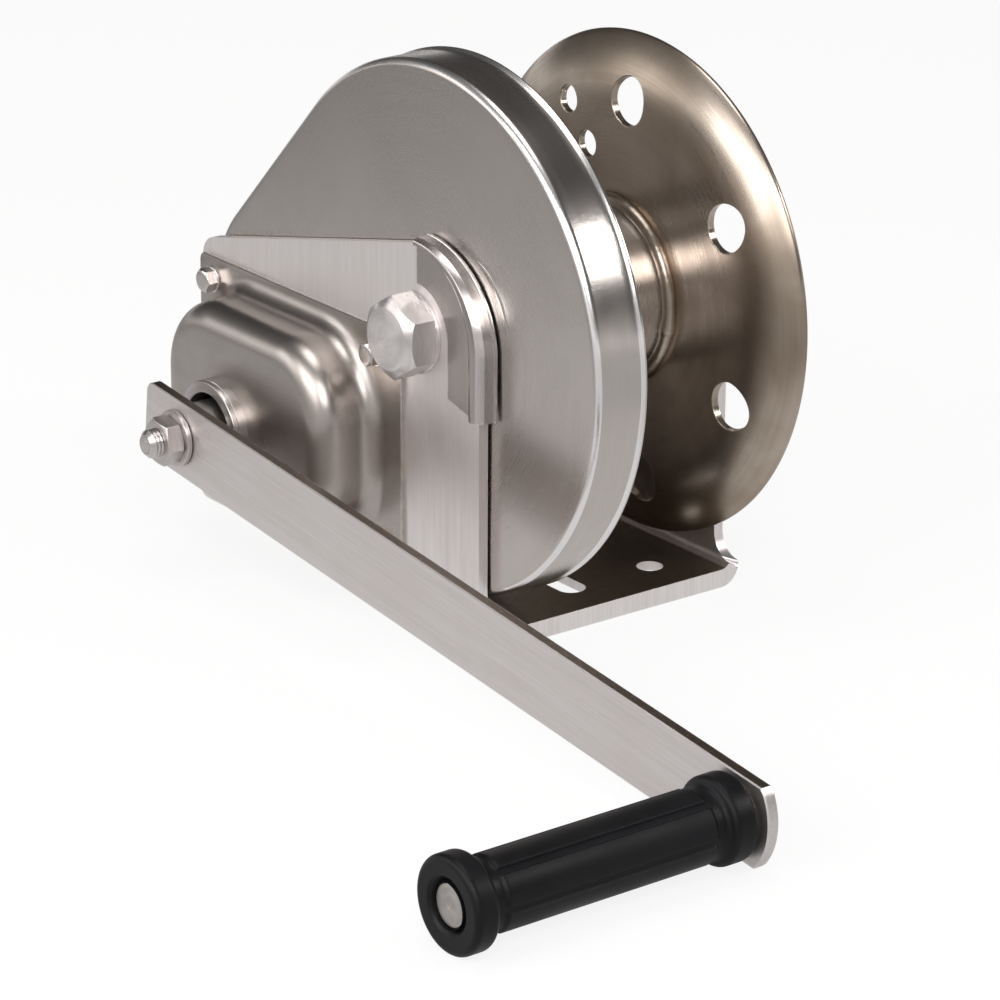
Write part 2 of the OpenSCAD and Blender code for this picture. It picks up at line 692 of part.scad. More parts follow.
module pawl() {
  l = pawl_l - run_gap;
  d = pawl_touch_r - (ratchet_r - ratchet_depth);
  color("gray") difference() {
    at(-ratchet_1 + 0.2, drum_y + pawl_y, drum_z + pawl_z) rotate([0, 0, pawl_n - 90])
      linear_extrude(ratchet_t - 0.4) union() {
        circle(pawl_pin_r + 3.5);
        polygon([[0, -pawl_pin_r - 3], [9, -4], [l - 11, -0.2], [l, -d + 0.5], [l, 4.2],
          [l - 4, 5.5], [0, pawl_pin_r + 3.5]]);
      }
    at(-ratchet_1 - 1, drum_y + pawl_y, drum_z + pawl_z) cylinder(h = ratchet_t + 2, r = pawl_pin_r + run_fit);
  }
}

// Torsion spring round the pawl pin's collar, with one leg along the pawl
module pawl_spring() {
  r = pawl_pin_r + 3.2;
  w = 0.6;
  y = drum_y + pawl_y;
  z = drum_z + pawl_z;
  color("silver") {
    for (k = [0:2]) at(-ratchet_0 + 0.4 + w + (2 * w + 0.05) * k, y, z) rotate_extrude()
      translate([r, 0]) circle(w);
    at(-ratchet_0 + 0.4 + w, y, z) rotate([0, 0, pawl_n - 90]) translate([0, r, 0]) rotate([0, 90, 0])
      cylinder(h = 14, r = 0.8 * w);
  }
}

module crank_hub() {
  neck = min(ring_bore_r - 3, square_w / 2 * sqrt(2) + 1);
  end = arm_0 - 2 + run_gap;
  color("gray") difference() {
    union() {
      at(0, shaft_y, shaft_z) rotate_extrude() polygon([[0, -arm_0], [neck, -arm_0],
        [neck, -hub_1 - 1], [neck + 1, -hub_1], [disc_r, -hub_1], [disc_r, -hub_0], [0, -hub_0]]);
      at(-arm_1, shaft_y, shaft_z) rotate([0, 0, crank_drop])
        translate([-square_w / 2, -square_w / 2]) cube([square_w, square_w, arm_t + 1]);
    }
    at(0, shaft_y, shaft_z) rotate_extrude() polygon([[0, -arm_1 - 1], [stud_r + run_fit, -arm_1 - 1],
      [stud_r + run_fit, -end], [thread_r + run_fit, -end], [thread_r + run_fit, 0], [0, 0]]);
  }
}

module crank_arm() {
  l = crank_l;
  w = arm_w;
  end_r = 0.8 * w;
  color("silver") at(-arm_1, shaft_y, shaft_z) rotate([0, 0, crank_drop]) difference() {
    intersection() {
      round_bar(-l - arm_nose - 10, -w / 2, arm_tail, w / 2, 4, arm_t);
      // The far end is a flat arc
      union() {
        translate([-l - arm_nose + end_r, 0, -1]) cylinder(h = arm_t + 2, r = end_r);
        translate([-l - arm_nose + end_r, -w, -1]) cube([l + arm_nose + arm_tail, 2 * w, arm_t + 2]);
      }
    }
    translate([-square_w / 2 - seat_gap, -square_w / 2 - seat_gap, -1])
      cube([square_w + 2 * seat_gap, square_w + 2 * seat_gap, arm_t + 2]);
    translate([-l, 0, -1]) cylinder(h = arm_t + 2, r = grip_pin_r - 1.5);
  }
}

module grip_pin() {
  r = grip_pin_r;
  e = grip_1 - 1.5;
  color("silver") at(0, grip_y, grip_z) rotate_extrude() polygon([[0, -e], [r - 1, -e], [r, -e + 1],
    [r, -arm_1], [r - 1.5 - seat_gap, -arm_1], [r - 1.5 - seat_gap, -arm_0], [r + 1, -arm_0],
    [r + 1, 1.2 - arm_0], [r, 1.8 - arm_0], [0, 1.8 - arm_0]]);
}

module grip_washer() {
  color("lightgray") out_rod(arm_1, arm_1 + 1.5, grip_pin_r + 3, grip_pin_r + seat_gap, grip_y, grip_z);
}

// One end flange of the grip with rounded edges
module grip_end(z) {
  e = 2.2;
  translate([0, 0, z]) rotate_extrude() union() {
    square([grip_flange_r - e, grip_flange_w]);
    translate([0, e]) square([grip_flange_r, grip_flange_w - 2 * e]);
    for (y = [e, grip_flange_w - e]) translate([grip_flange_r - e, y]) circle(e);
  }
}

module grip() {
  long = grip_l - 2 * grip_flange_w;
  step = 360 / panels;
  color("dimgray") at(-grip_1, grip_y, grip_z) difference() {
    union() {
      cylinder(h = grip_l, r = grip_body_r);
      grip_end(0);
      grip_end(grip_l - grip_flange_w);
      // Raised panels with grooves between them
      for (k = [0:panels - 1]) rotate([0, 0, step * k + 8]) translate([0, 0, grip_flange_w + 6])
        rotate_extrude(angle = step - 16) square([grip_body_r + panel_h, long - 12]);
    }
    translate([0, 0, -1]) cylinder(h = grip_l + 2, r = grip_pin_r + run_fit);
    translate([0, 0, -1]) cylinder(h = 2.5, r1 = grip_pin_r + 2, r2 = grip_pin_r);
  }
}

frame();
gear_cover();
corner_guard();
brake_cover();
cover_screws();
drum_bolt();
bolt_washers();
drum_nut();
drum_spacers();
shaft_bushes();
pawl_pin();
drum();
drum_gear();
drum_bushes();
drive_shaft();
pressure_plate();
shaft_circlip();
crank_washer();
crank_nut();
ratchet_wheel();
friction_discs();
pawl();
pawl_spring();
crank_hub();
crank_arm();
grip_pin();
grip_washer();
grip();
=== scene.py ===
"""Looks of the brake hand winch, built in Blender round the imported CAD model.

Lengths are in millimetres and places count from the drum axis at the left plate's outer face: x to
the right along the drum axis, y towards the drive shaft, z up. place() turns them into the row frame.
"""

import logging
import math
from dataclasses import dataclass
from enum import Enum

import bmesh
import bpy
import numpy as np
from mathutils import Matrix, Vector
from mathutils.geometry import delaunay_2d_cdt, tessellate_polygon


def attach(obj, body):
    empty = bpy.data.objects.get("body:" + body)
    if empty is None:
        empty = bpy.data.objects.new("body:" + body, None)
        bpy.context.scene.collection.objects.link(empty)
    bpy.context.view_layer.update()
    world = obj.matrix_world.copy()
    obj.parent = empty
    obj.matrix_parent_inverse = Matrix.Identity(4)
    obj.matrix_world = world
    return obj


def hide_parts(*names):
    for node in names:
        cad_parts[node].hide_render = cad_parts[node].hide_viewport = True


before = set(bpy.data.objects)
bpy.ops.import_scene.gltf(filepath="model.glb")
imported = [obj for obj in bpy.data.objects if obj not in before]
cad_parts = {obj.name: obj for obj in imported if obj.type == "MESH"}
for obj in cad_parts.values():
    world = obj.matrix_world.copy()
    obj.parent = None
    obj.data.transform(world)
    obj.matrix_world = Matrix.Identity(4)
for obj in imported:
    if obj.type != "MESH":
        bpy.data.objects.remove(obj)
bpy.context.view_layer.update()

LOG = logging.getLogger("hand_winch")
Array = np.ndarray
Colour = tuple[float, float, float]
MM = 0.001


# Sizes shared by the pieces
@dataclass(frozen=True)
class Layout:
    """Places of the main axes and faces, in millimetres.

    Attributes:
        left: row x of the left plate's outer face.
        drum_y: row y of the drum axis.
        drum_z: row z of the drum axis.
        shaft: drive shaft (y, z) from the drum axis.
        grip: grip axis (y, z) from the drum axis.
        frame_w: outer width over both side plates.
        barrel_r: radius of the drum's barrel.
        drum_faces: places of the flanges' faces towards the rope.
        crank_drop: slope of the crank below the horizontal, in degrees.
    """

    left: float = -59.05
    drum_y: float = -42.0
    drum_z: float = 108.2
    shaft: tuple[float, float] = (90.105, -56.304)
    grip: tuple[float, float] = (-232.962, -91.7)
    frame_w: float = 114.1
    barrel_r: float = 32.0
    drum_faces: tuple[float, float] = (25.0, 91.0)
    crank_drop: float = 6.2527


LAY = Layout()
DRUM_AXIS = (0.0, 0.0)


def place(points: Array) -> Array:
    """Millimetres from the drum axis into metres in the row frame.

    Args:
        points: array of shape (..., 3).

    Returns:
        The same points in metres, measured from the middle of the base's underside.
    """
    return (np.asarray(points, float) + (LAY.left, LAY.drum_y, LAY.drum_z)) * MM


# Surfaces
def grid_faces(rows: int, cols: int, start: int = 0) -> list[list[int]]:
    """Quads of a grid of rows x cols points whose rows are closed loops, numbered row by row.

    Args:
        rows: number of rows.
        cols: points in each row.
        start: number of the grid's first point.

    Returns:
        A list of four point numbers for each quad.
    """
    i = np.arange(rows - 1)[:, None]
    j = np.arange(cols)[None, :]
    k = (j + 1) % cols
    quads = np.stack([i * cols + j, i * cols + k, (i + 1) * cols + k, (i + 1) * cols + j], -1)
    return (quads.reshape(-1, 4) + start).tolist()


def rounded(points: list, radii: list[float] | float, steps: int = 5) -> Array:
    """Open line through points whose inner corners become tangent arcs.

    At a corner with half angle h between its sides, an arc of radius r starts r / tan(h) from it.

    Args:
        points: the line's corners.
        radii: one radius for each inner corner, or one for all.
        steps: pieces of each arc.

    Returns:
        Array of shape (n, 2).
    """
    p = np.asarray(points, float)
    r = np.full(len(p) - 2, radii, float) if np.isscalar(radii) else np.asarray(radii, float)
    line = [p[:1]]
    for i, radius in enumerate(r, start=1):
        a, b = p[i - 1] - p[i], p[i + 1] - p[i]
        la, lb = np.linalg.norm(a), np.linalg.norm(b)
        a, b = a / la, b / lb
        half = math.acos(float(np.clip(a @ b, -1, 1))) / 2
        if radius <= 0 or half > 1.55:
            line.append(p[i:i + 1])
            continue
        reach = min(radius / math.tan(half), la * 0.49, lb * 0.49)
        radius = reach * math.tan(half)
        mid = (a + b) / np.linalg.norm(a + b)
        centre = p[i] + mid * radius / math.sin(half)
        u = p[i] + a * reach - centre
        v = p[i] + b * reach - centre
        turn = math.atan2(u[0] * v[1] - u[1] * v[0], float(u @ v))
        t = np.linspace(0, turn, steps + 1)[:, None]
        line.append(centre + u * np.cos(t) + np.array([-u[1], u[0]]) * np.sin(t))
    line.append(p[-1:])
    return np.concatenate(line)


def resampled(line: Array, step: float) -> Array:
    """The line with extra points, so that no side is longer than step.

    Args:
        line: array of shape (n, 2).
        step: longest side allowed.

    Returns:
        Array of shape (m, 2) that keeps every point of line.
    """
    length = np.linalg.norm(np.diff(line, axis=0), axis=1)
    count = np.maximum(1, np.ceil(length / step)).astype(int)
    parts = [line[i] + (line[i + 1] - line[i]) * np.linspace(0, 1, n, endpoint=False)[:, None]
             for i, n in enumerate(count)]
    return np.concatenate(parts + [line[-1:]])


def turned(profile: Array, centre: tuple[float, float] = DRUM_AXIS, cols: int = 96) -> Array:
    """Surface of revolution: the point (x, r) at angle a lies at (x, cy + r cos a, cz + r sin a).

    Args:
        profile: array of shape (rows, 2) of x and radius.
        centre: axis (cy, cz).
        cols: number of angles.

    Returns:
        Array of shape (rows, cols, 3).
    """
    a = np.linspace(0, 2 * np.pi, cols, endpoint=False)
    x = np.repeat(profile[:, :1], cols, axis=1)
    r = profile[:, 1:]
    return np.stack([x, centre[0] + r * np.cos(a), centre[1] + r * np.sin(a)], -1)


def smooth_step(t: Array) -> Array:
    """3t^2 - 2t^3 between 0 and 1, flat outside."""
    t = np.clip(t, 0, 1)
    return t * t * (3 - 2 * t)


def make_piece(name: str, points: Array, faces: list, angle: float = 35.0) -> bpy.types.Object:
    """Object at the origin with these points and faces, merged and turned outwards.

    Args:
        name: name of the piece.
        points: array of shape (n, 3), in millimetres from the drum axis.
        faces: lists of point numbers.
        angle: edges sharper than this many degrees stay sharp.

    Returns:
        The new object, linked to the scene.
    """
    mesh = bpy.data.meshes.new(name)
    mesh.from_pydata(place(points).reshape(-1, 3).tolist(), [], faces)
    work = bmesh.new()
    work.from_mesh(mesh)
    bmesh.ops.remove_doubles(work, verts=work.verts, dist=2e-6)
    bmesh.ops.dissolve_degenerate(work, edges=work.edges, dist=1e-6)
    bmesh.ops.recalc_face_normals(work, faces=work.faces)
    work.to_mesh(mesh)
    work.free()
    mesh.polygons.foreach_set("use_smooth", np.ones(len(mesh.polygons), bool))
    mesh.set_sharp_from_angle(angle=math.radians(angle))
    mesh.validate()
    piece = bpy.data.objects.new(name, mesh)
    bpy.context.scene.collection.objects.link(piece)
    return piece


def shell(name: str, surface: Array, angle: float = 35.0) -> bpy.types.Object:
    """Piece from one grid of points whose rows are closed loops.

    Args:
        name: name of the piece.
        surface: array of shape (rows, cols, 3).
        angle: edges sharper than this stay sharp.

    Returns:
        The new object.
    """
    rows, cols = surface.shape[:2]
    return make_piece(name, surface.reshape(-1, 3), grid_faces(rows, cols), angle)


def join_grids(name: str, grids: list[Array], angle: float = 35.0) -> bpy.types.Object:
    """Piece from several closed grids of points.

    Args:
        name: name of the piece.
        grids: arrays of shape (rows, cols, 3).
        angle: edges sharper than this stay sharp.

    Returns:
        The new object.
    """
    faces, start = [], 0
    for grid in grids:
        faces += grid_faces(grid.shape[0], grid.shape[1], start)
        start += grid.shape[0] * grid.shape[1]
    return make_piece(name, np.concatenate([g.reshape(-1, 3) for g in grids]), faces, angle)


def soften(piece: bpy.types.Object, width: float, segments: int = 2) -> bpy.types.Object:
    """Bevels the piece's sharp edges.

    Args:
        piece: the object.
        width: width of the bevel in millimetres.
        segments: pieces across the bevel.

    Returns:
        The same object.
    """
    bevel = piece.modifiers.new("soft edges", "BEVEL")
    bevel.width = width * MM
    bevel.segments = segments
    bevel.limit_method = "ANGLE"
    bevel.angle_limit = math.radians(38)
    bevel.use_clamp_overlap = True
    bevel.harden_normals = False
    return piece


def plate_grid(outline: Array, holes: list[Array], x0: float, x1: float, edge: float) -> tuple:
    """Flat plate between x0 and x1 with chamfered outer edges.

    The outline runs round four times: drawn in by edge at x0, full just inside it, full just before
    x1 and drawn in at x1. The two faces are triangulated with their holes.

    Args:
        outline: closed outline, array of shape (n, 2) of y and z, counterclockwise.
        holes: closed outlines of the holes.
        x0: left face.
        x1: right face.
        edge: chamfer.

    Returns:
        Points of shape (m, 3) and the faces.
    """
    tangent = np.roll(outline, -1, 0) - np.roll(outline, 1, 0)
    tangent /= np.linalg.norm(tangent, axis=1)[:, None]
    inward = np.stack([-tangent[:, 1], tangent[:, 0]], -1)
    small = outline + inward * edge
    rings = [(small, x0), (outline, x0 + edge), (outline, x1 - edge), (small, x1)]
    grid = np.stack([np.column_stack([np.full(len(r), x), r]) for r, x in rings])
    points, faces = [grid.reshape(-1, 3)], grid_faces(4, len(outline))
    start = grid.shape[0] * grid.shape[1]
    for hole in holes:
        wall = np.stack([np.column_stack([np.full(len(hole), x), hole]) for x in (x0, x1)])
        points.append(wall.reshape(-1, 3))
        faces += grid_faces(2, len(hole), start)
        start += 2 * len(hole)
    for x in (x0, x1):
        loops = [small] + holes
        cap = tessellate_polygon([[Vector((0.0, q[0], q[1])) for q in loop] for loop in loops])
        flat = np.concatenate(loops)
        points.append(np.column_stack([np.full(len(flat), x), flat]))
        faces += [[i + start for i in tri] for tri in cap]
        start += len(flat)
    return np.concatenate(points), faces


def hexagon(flats: float, x_face: float, x_back: float, centre: tuple[float, float], turn: float,
            face_r: float, slope: float, both: bool = False, bore: float = 0.0,
            cols: int = 180) -> Array:
    """Hexagonal head or nut as one grid: rows run from the face over the chamfer to the back.

    At angle a the flats lie at h(a) = flats / 2 / cos(a') with a' the angle from the nearest flat's
    middle. The chamfer cone starts at face_r and falls by (h - face_r) tan(slope).

    Args:
        flats: width across flats.
        x_face: place of the outer face.
        x_back: place of the back.
        centre: axis (y, z).
        turn: angle of one flat, in degrees.
        face_r: radius of the flat face.
        slope: angle of the chamfer, in degrees.
        both: True chamfers the back too.
        bore: radius of the hole, or 0.
        cols: number of angles.

    Returns:
        Array of shape (rows, cols, 3).
    """
    a = np.linspace(0, 2 * np.pi, cols, endpoint=False)
    third = np.pi / 3
    h = flats / 2 / np.cos((a + third / 2) % third - third / 2)
    s = 1.0 if x_back > x_face else -1.0
    fall = s * (h - face_r) * math.tan(math.radians(slope))
    one = np.ones(cols)
    rows = [(x_face * one, bore * one), (x_face * one, face_r * 0.6 * one),
            (x_face * one, (face_r - 0.15) * one), (x_face + s * 0.08 * one, (face_r + 0.12) * one),
            (x_face + fall, h)]
    if bore > 0:
        rows[0] = (x_face + s * 0.6 * one, bore * one)
        rows.insert(1, (x_face * one, (bore + 0.6) * one))
    if both:
        rows += [(x_back - fall, h), (x_back * one, face_r * one)]
    else:
        rows += [(x_back * one, h)]
    rows.append((x_back * one, bore * one))
    if bore > 0:
        rows.append(rows[0])
    b = a + math.radians(turn)
    return np.stack([np.stack([x, centre[0] + r * np.cos(b), centre[1] + r * np.sin(b)], -1)
                     for x, r in rows])


def screw_thread(x0: float, x1: float, crest: float, depth: float, pitch: float,
                 centre: tuple[float, float], end_r: float, cols: int = 72) -> Array:
    """Threaded rod from x0 to its free end at x1, as one grid.

    Its radius is crest - depth * t, where t is the triangle wave of x / pitch - a / 2 pi, flattened
    at its crests, and it fades into a chamfer and a low dome at the free end.

    Args:
        x0: buried end.
        x1: free end.
        crest: radius over the thread.
        depth: depth of the groove.
        pitch: distance between turns.
        centre: axis (y, z).
        end_r: radius where the end's dome starts.
        cols: number of angles.

    Returns:
        Array of shape (rows, cols, 3).
    """
    a = np.linspace(0, 2 * np.pi, cols, endpoint=False)[None, :]
    s = 1.0 if x1 > x0 else -1.0
    stop = x1 - s * (crest - end_r + 0.6)
    x = np.linspace(x0, stop, int(abs(stop - x0) / pitch * 12) + 2)[:, None]
    wave = np.abs(((x / pitch - a / (2 * np.pi)) % 1) * 2 - 1)
    groove = smooth_step((wave - 0.15) / 0.75)
    fade = smooth_step(np.abs(stop - x) / (0.5 * pitch))
    r = crest - depth * groove * fade
    body = np.stack([x + 0 * a, centre[0] + r * np.cos(a), centre[1] + r * np.sin(a)], -1)
    start = turned(np.array([[x0, 0.0]]), centre, cols)
    t = np.linspace(0, 1, 7)[1:]
    cap = np.column_stack([x1 - s * 0.6 * t[::-1] ** 2, end_r * (1 - t)])
    end = turned(np.concatenate([[[x1 - s * 0.6, end_r]], cap]), centre, cols)
    return np.concatenate([start, body, end])


def washer_profile(x0: float, x1: float, bore: float, radius: float, edge: float) -> Array:
    """Closed section of a washer with rounded outer edges."""
    return rounded([[x0, bore], [x0, radius], [x1, radius], [x1, bore], [x0, bore]],
                   [edge, edge, 0], 3)


# Shader node groups
class Sheet:
    """Small helper that adds nodes to a tree and links them."""

    def __init__(self, tree: bpy.types.NodeTree) -> None:
        """Keeps the tree."""
        self.tree = tree

    def add(self, kind: str, inputs: dict | None = None, **settings: object) -> bpy.types.Node:
        """New node.

        Args:
            kind: node type without the prefix ShaderNode.
            inputs: values or sockets, by socket name or number.
            settings: the node's properties.

        Returns:
            The node.
        """
        node = self.tree.nodes.new(kind if kind.startswith("Node") else "ShaderNode" + kind)
        for key, value in settings.items():
            setattr(node, key, value)
        for key, value in (inputs or {}).items():
            self.feed(node.inputs[key], value)
        return node

    def feed(self, socket: bpy.types.NodeSocket, value: object) -> None:
        """Links a socket to an input, or sets the input to a number, vector or colour.

        Args:
            socket: the input.
            value: socket or constant.
        """
        if isinstance(value, bpy.types.NodeSocket):
            self.tree.links.new(value, socket)
        else:
            socket.default_value = value

    def math(self, operation: str, *values: object, clamp: bool = False) -> bpy.types.NodeSocket:
        """Result of a Math node.

        Args:
            operation: the node's operation.
            values: numbers or sockets.
            clamp: True keeps the result between 0 and 1.

        Returns:
            The output socket.
        """
        return self.add("Math", dict(enumerate(values)), operation=operation,
                        use_clamp=clamp).outputs[0]

    def vector(self, operation: str, *values: object) -> bpy.types.NodeSocket:
        """Result of a Vector Math node, a number for a length or a dot product.

        Args:
            operation: the node's operation.
            values: vectors or sockets.

        Returns:
            The output socket.
        """
        node = self.add("VectorMath", dict(enumerate(values)), operation=operation)
        return node.outputs["Value" if operation in ("LENGTH", "DOT_PRODUCT") else "Vector"]

    def span(self, value: object, low: float, high: float, to_low: float = 0.0,
             to_high: float = 1.0) -> bpy.types.NodeSocket:
        """Value mapped from low..high onto to_low..to_high with soft ends."""
        return self.add("MapRange", {0: value, 1: low, 2: high, 3: to_low, 4: to_high},
                        interpolation_type="SMOOTHSTEP").outputs[0]

    def mix(self, factor: object, a: object, b: object, blend: str = "MIX") -> bpy.types.NodeSocket:
        """Two colours mixed by factor.

        Args:
            factor: share of the second colour.
            a: first colour or socket.
            b: second colour or socket.
            blend: way of mixing.

        Returns:
            The output socket.
        """
        node = self.add("Mix", data_type="RGBA", blend_type=blend)
        for number, value in ((0, factor), (6, a), (7, b)):
            self.feed(node.inputs[number], (*value, 1.0) if isinstance(value, tuple) else value)
        return node.outputs[2]

    def group(self, tree: bpy.types.NodeTree, *values: object) -> bpy.types.bpy_prop_collection:
        """Outputs of a group node whose inputs take the sockets and numbers in order."""
        return self.add("Group", dict(enumerate(values)), node_tree=tree).outputs

    def close(self, shader: bpy.types.NodeSocket, kind: str = "OutputMaterial") -> None:
        """Links the shader to the tree's output."""
        self.add(kind, {0: shader})


def new_material(name: str) -> tuple[bpy.types.Material, Sheet]:
    """Empty node material.

    Args:
        name: its name.

    Returns:
        The material and the Sheet of its nodes.
    """
    material = bpy.data.materials.new(name)
    material.use_nodes = True
    material.node_tree.nodes.clear()
    return material, Sheet(material.node_tree)


def new_group(name: str, inputs: dict[str, tuple[str, object]], outputs: dict[str, str]) -> tuple:
    """Empty shader node group.

    Args:
        name: its name.
        inputs: kind and first value, by socket name.
        outputs: kind, by socket name.

    Returns:
        The group, its Sheet, the outputs of its input node and the inputs of its output node.
    """
    group = bpy.data.node_groups.new(name, "ShaderNodeTree")
    for label, (kind, value) in inputs.items():
        socket = group.interface.new_socket(label, in_out="INPUT", socket_type="NodeSocket" + kind)
        if value is not None:
            socket.default_value = value
    for label, kind in outputs.items():
        group.interface.new_socket(label, in_out="OUTPUT", socket_type="NodeSocket" + kind)
    sheet = Sheet(group)
    return group, sheet, sheet.add("NodeGroupInput").outputs, sheet.add("NodeGroupOutput").inputs


def grain_group() -> bpy.types.NodeTree:
    """Fine brushed lines: fine and wide noise on coordinates that are long along the brushing.

    Returns:
        Group with Vector (already stretched) and Scale; it puts out Lines and Height.
    """
    group, s, given, out = new_group("brushed lines", {
        "Vector": ("Vector", None), "Scale": ("Float", 1.0)}, {"Lines": "Float", "Height": "Float"})
    fine = s.add("TexNoise", {"Vector": given[0], "Scale": s.math("MULTIPLY", given[1], 1400.0),
                              "Detail": 3.0, "Roughness": 0.6})
    wide = s.add("TexNoise", {"Vector": given[0], "Scale": s.math("MULTIPLY", given[1], 260.0),
                              "Detail": 2.0, "Roughness": 0.5})
    lines = s.math("ADD", s.math("MULTIPLY", fine.outputs[0], 0.6),
                   s.math("MULTIPLY", wide.outputs[0], 0.4))
    s.feed(out[0], s.span(lines, 0.36, 0.64))
    s.feed(out[1], lines)
    return group


def ring_group() -> bpy.types.NodeTree:
    """Coordinates that change with the distance from an axis along X and hardly round it.

    The radius plus 0.9 times the place along the axis comes first, then the direction from the
    axis, made so short that a noise on these coordinates runs in circles.

    Returns:
        Group with Vector, Centre Y and Centre Z in metres; it puts out Around.
    """
    group, s, given, out = new_group("round the axis", {
        "Vector": ("Vector", None), "Centre Y": ("Float", 0.0), "Centre Z": ("Float", 0.0)},
        {"Around": "Vector"})
    part = s.add("SeparateXYZ", {0: given[0]}).outputs
    y = s.math("SUBTRACT", part[1], given[1])
    z = s.math("SUBTRACT", part[2], given[2])
    radius = s.math("SQRT", s.math("ADD", s.math("MULTIPLY", y, y), s.math("MULTIPLY", z, z)))
    safe = s.math("MAXIMUM", radius, 1e-5)
    around = s.add("CombineXYZ", {
        0: s.math("ADD", radius, s.math("MULTIPLY", part[0], 0.9)),
        1: s.math("MULTIPLY", s.math("DIVIDE", y, safe), 0.0012),
        2: s.math("MULTIPLY", s.math("DIVIDE", z, safe), 0.0012)})
    s.feed(out[0], around.outputs[0])
    return group


def swirl_group() -> bpy.types.NodeTree:
    """Marks of a rotary polisher: short arcs round the centres of random cells, in two layers.

    Returns:
        Group with Vector, Cell (cells per metre) and Lines (arcs per metre); it puts out Arcs.
    """
    group, s, given, out = new_group("swirl marks", {
        "Vector": ("Vector", None), "Cell": ("Float", 40.0), "Lines": ("Float", 900.0)},
        {"Arcs": "Float"})
    layers = []
    for shift in (0.0, 0.37):
        moved = s.vector("ADD", given[0], (shift, shift * 0.6, shift * 1.7))
        cell = s.add("TexVoronoi", {"Vector": moved, "Scale": given[1]}).outputs
        distance = s.math("DIVIDE", cell["Distance"], given[1])
        tone = s.add("SeparateXYZ", {0: cell["Color"]})
        along = s.add("CombineXYZ", {0: s.math("MULTIPLY", distance, given[2]),
                                     1: s.math("MULTIPLY", tone.outputs[0], 37.0), 2: 0.0})
        arcs = s.add("TexNoise", {"Vector": along.outputs[0], "Scale": 1.0, "Detail": 2.0})
        fade = s.span(cell["Distance"], 0.75, 0.25)
        layers.append(s.math("MULTIPLY", s.math("SUBTRACT", arcs.outputs[0], 0.5), fade))
    s.feed(out[0], s.math("ADD", s.math("ADD", *layers), 0.5, clamp=True))
    return group


def smudge_group() -> bpy.types.NodeTree:
    """Soft cloudy patches left by handling and polishing.

    Returns:
        Group with Vector and Scale; it puts out Patches and Specks.
    """
    group, s, given, out = new_group("smudges", {
        "Vector": ("Vector", None), "Scale": ("Float", 20.0)}, {"Patches": "Float", "Specks": "Float"})
    cloud = s.add("TexNoise", {"Vector": given[0], "Scale": given[1], "Detail": 4.0,
                               "Roughness": 0.55, "Distortion": 0.4})
    speck = s.add("TexNoise", {"Vector": given[0], "Scale": s.math("MULTIPLY", given[1], 45.0),
                               "Detail": 2.0})
    s.feed(out[0], s.span(cloud.outputs[0], 0.32, 0.68))
    s.feed(out[1], s.span(speck.outputs[0], 0.64, 0.74))
    return group


def worn_and_highlit_edge_group() -> bpy.types.NodeTree:
    """Worn edges, which on metal also carry a painted highlight: where a normal rounded over 0.9 mm
    leaves the true one, broken up by noise.

    Returns:
        Group with Vector and Breakup (noise cells per metre); it puts out Edge.
    """
    group, s, given, out = new_group("worn edges", {
        "Vector": ("Vector", None), "Breakup": ("Float", 300.0)}, {"Edge": "Float"})
    bevel = s.add("Bevel", {"Radius": 0.0009}, samples=6)
    true = s.add("NewGeometry")
    bare = s.span(s.vector("DOT_PRODUCT", bevel.outputs[0], true.outputs["Normal"]), 0.995, 0.90)
    noise = s.add("TexNoise", {"Vector": given[0], "Scale": given[1], "Detail": 2.0})
    s.feed(out[0], s.math("MULTIPLY", bare, s.span(noise.outputs[0], 0.25, 0.6), clamp=True))
    return group


# Finishes
class Grain(Enum):
    """How a steel surface was worked."""

    ALONG_Y = "brushed along the base"
    ALONG_Z = "brushed upwards"
    ALONG_ARM = "brushed along the crank"
    RINGS = "turned in circles"
    SWIRL = "polished in swirls"


# Coordinates shrink to this share along the brushed lines
STRETCH: dict[Grain, Colour] = {Grain.ALONG_Y: (1.0, 0.02, 1.0), Grain.ALONG_Z: (1.0, 1.0, 0.02),
                                Grain.ALONG_ARM: (1.0, 0.02, 1.0)}
LINE_SHADE: Colour = (0.55, 0.53, 0.50)
SWIRL_CELLS, SWIRL_ARCS = 32.0, 700.0
METAL_CLOUDS, RUBBER_CLOUDS = 18.0, 35.0


@dataclass(frozen=True)
class Groups:
    """The shared shader node groups."""

    grain: bpy.types.NodeTree
    ring: bpy.types.NodeTree
    swirl: bpy.types.NodeTree
    smudge: bpy.types.NodeTree
    edge: bpy.types.NodeTree

    @staticmethod
    def build() -> "Groups":
        """Makes every group once."""
        return Groups(grain_group(), ring_group(), swirl_group(), smudge_group(), worn_and_highlit_edge_group())


GROUPS = Groups.build()


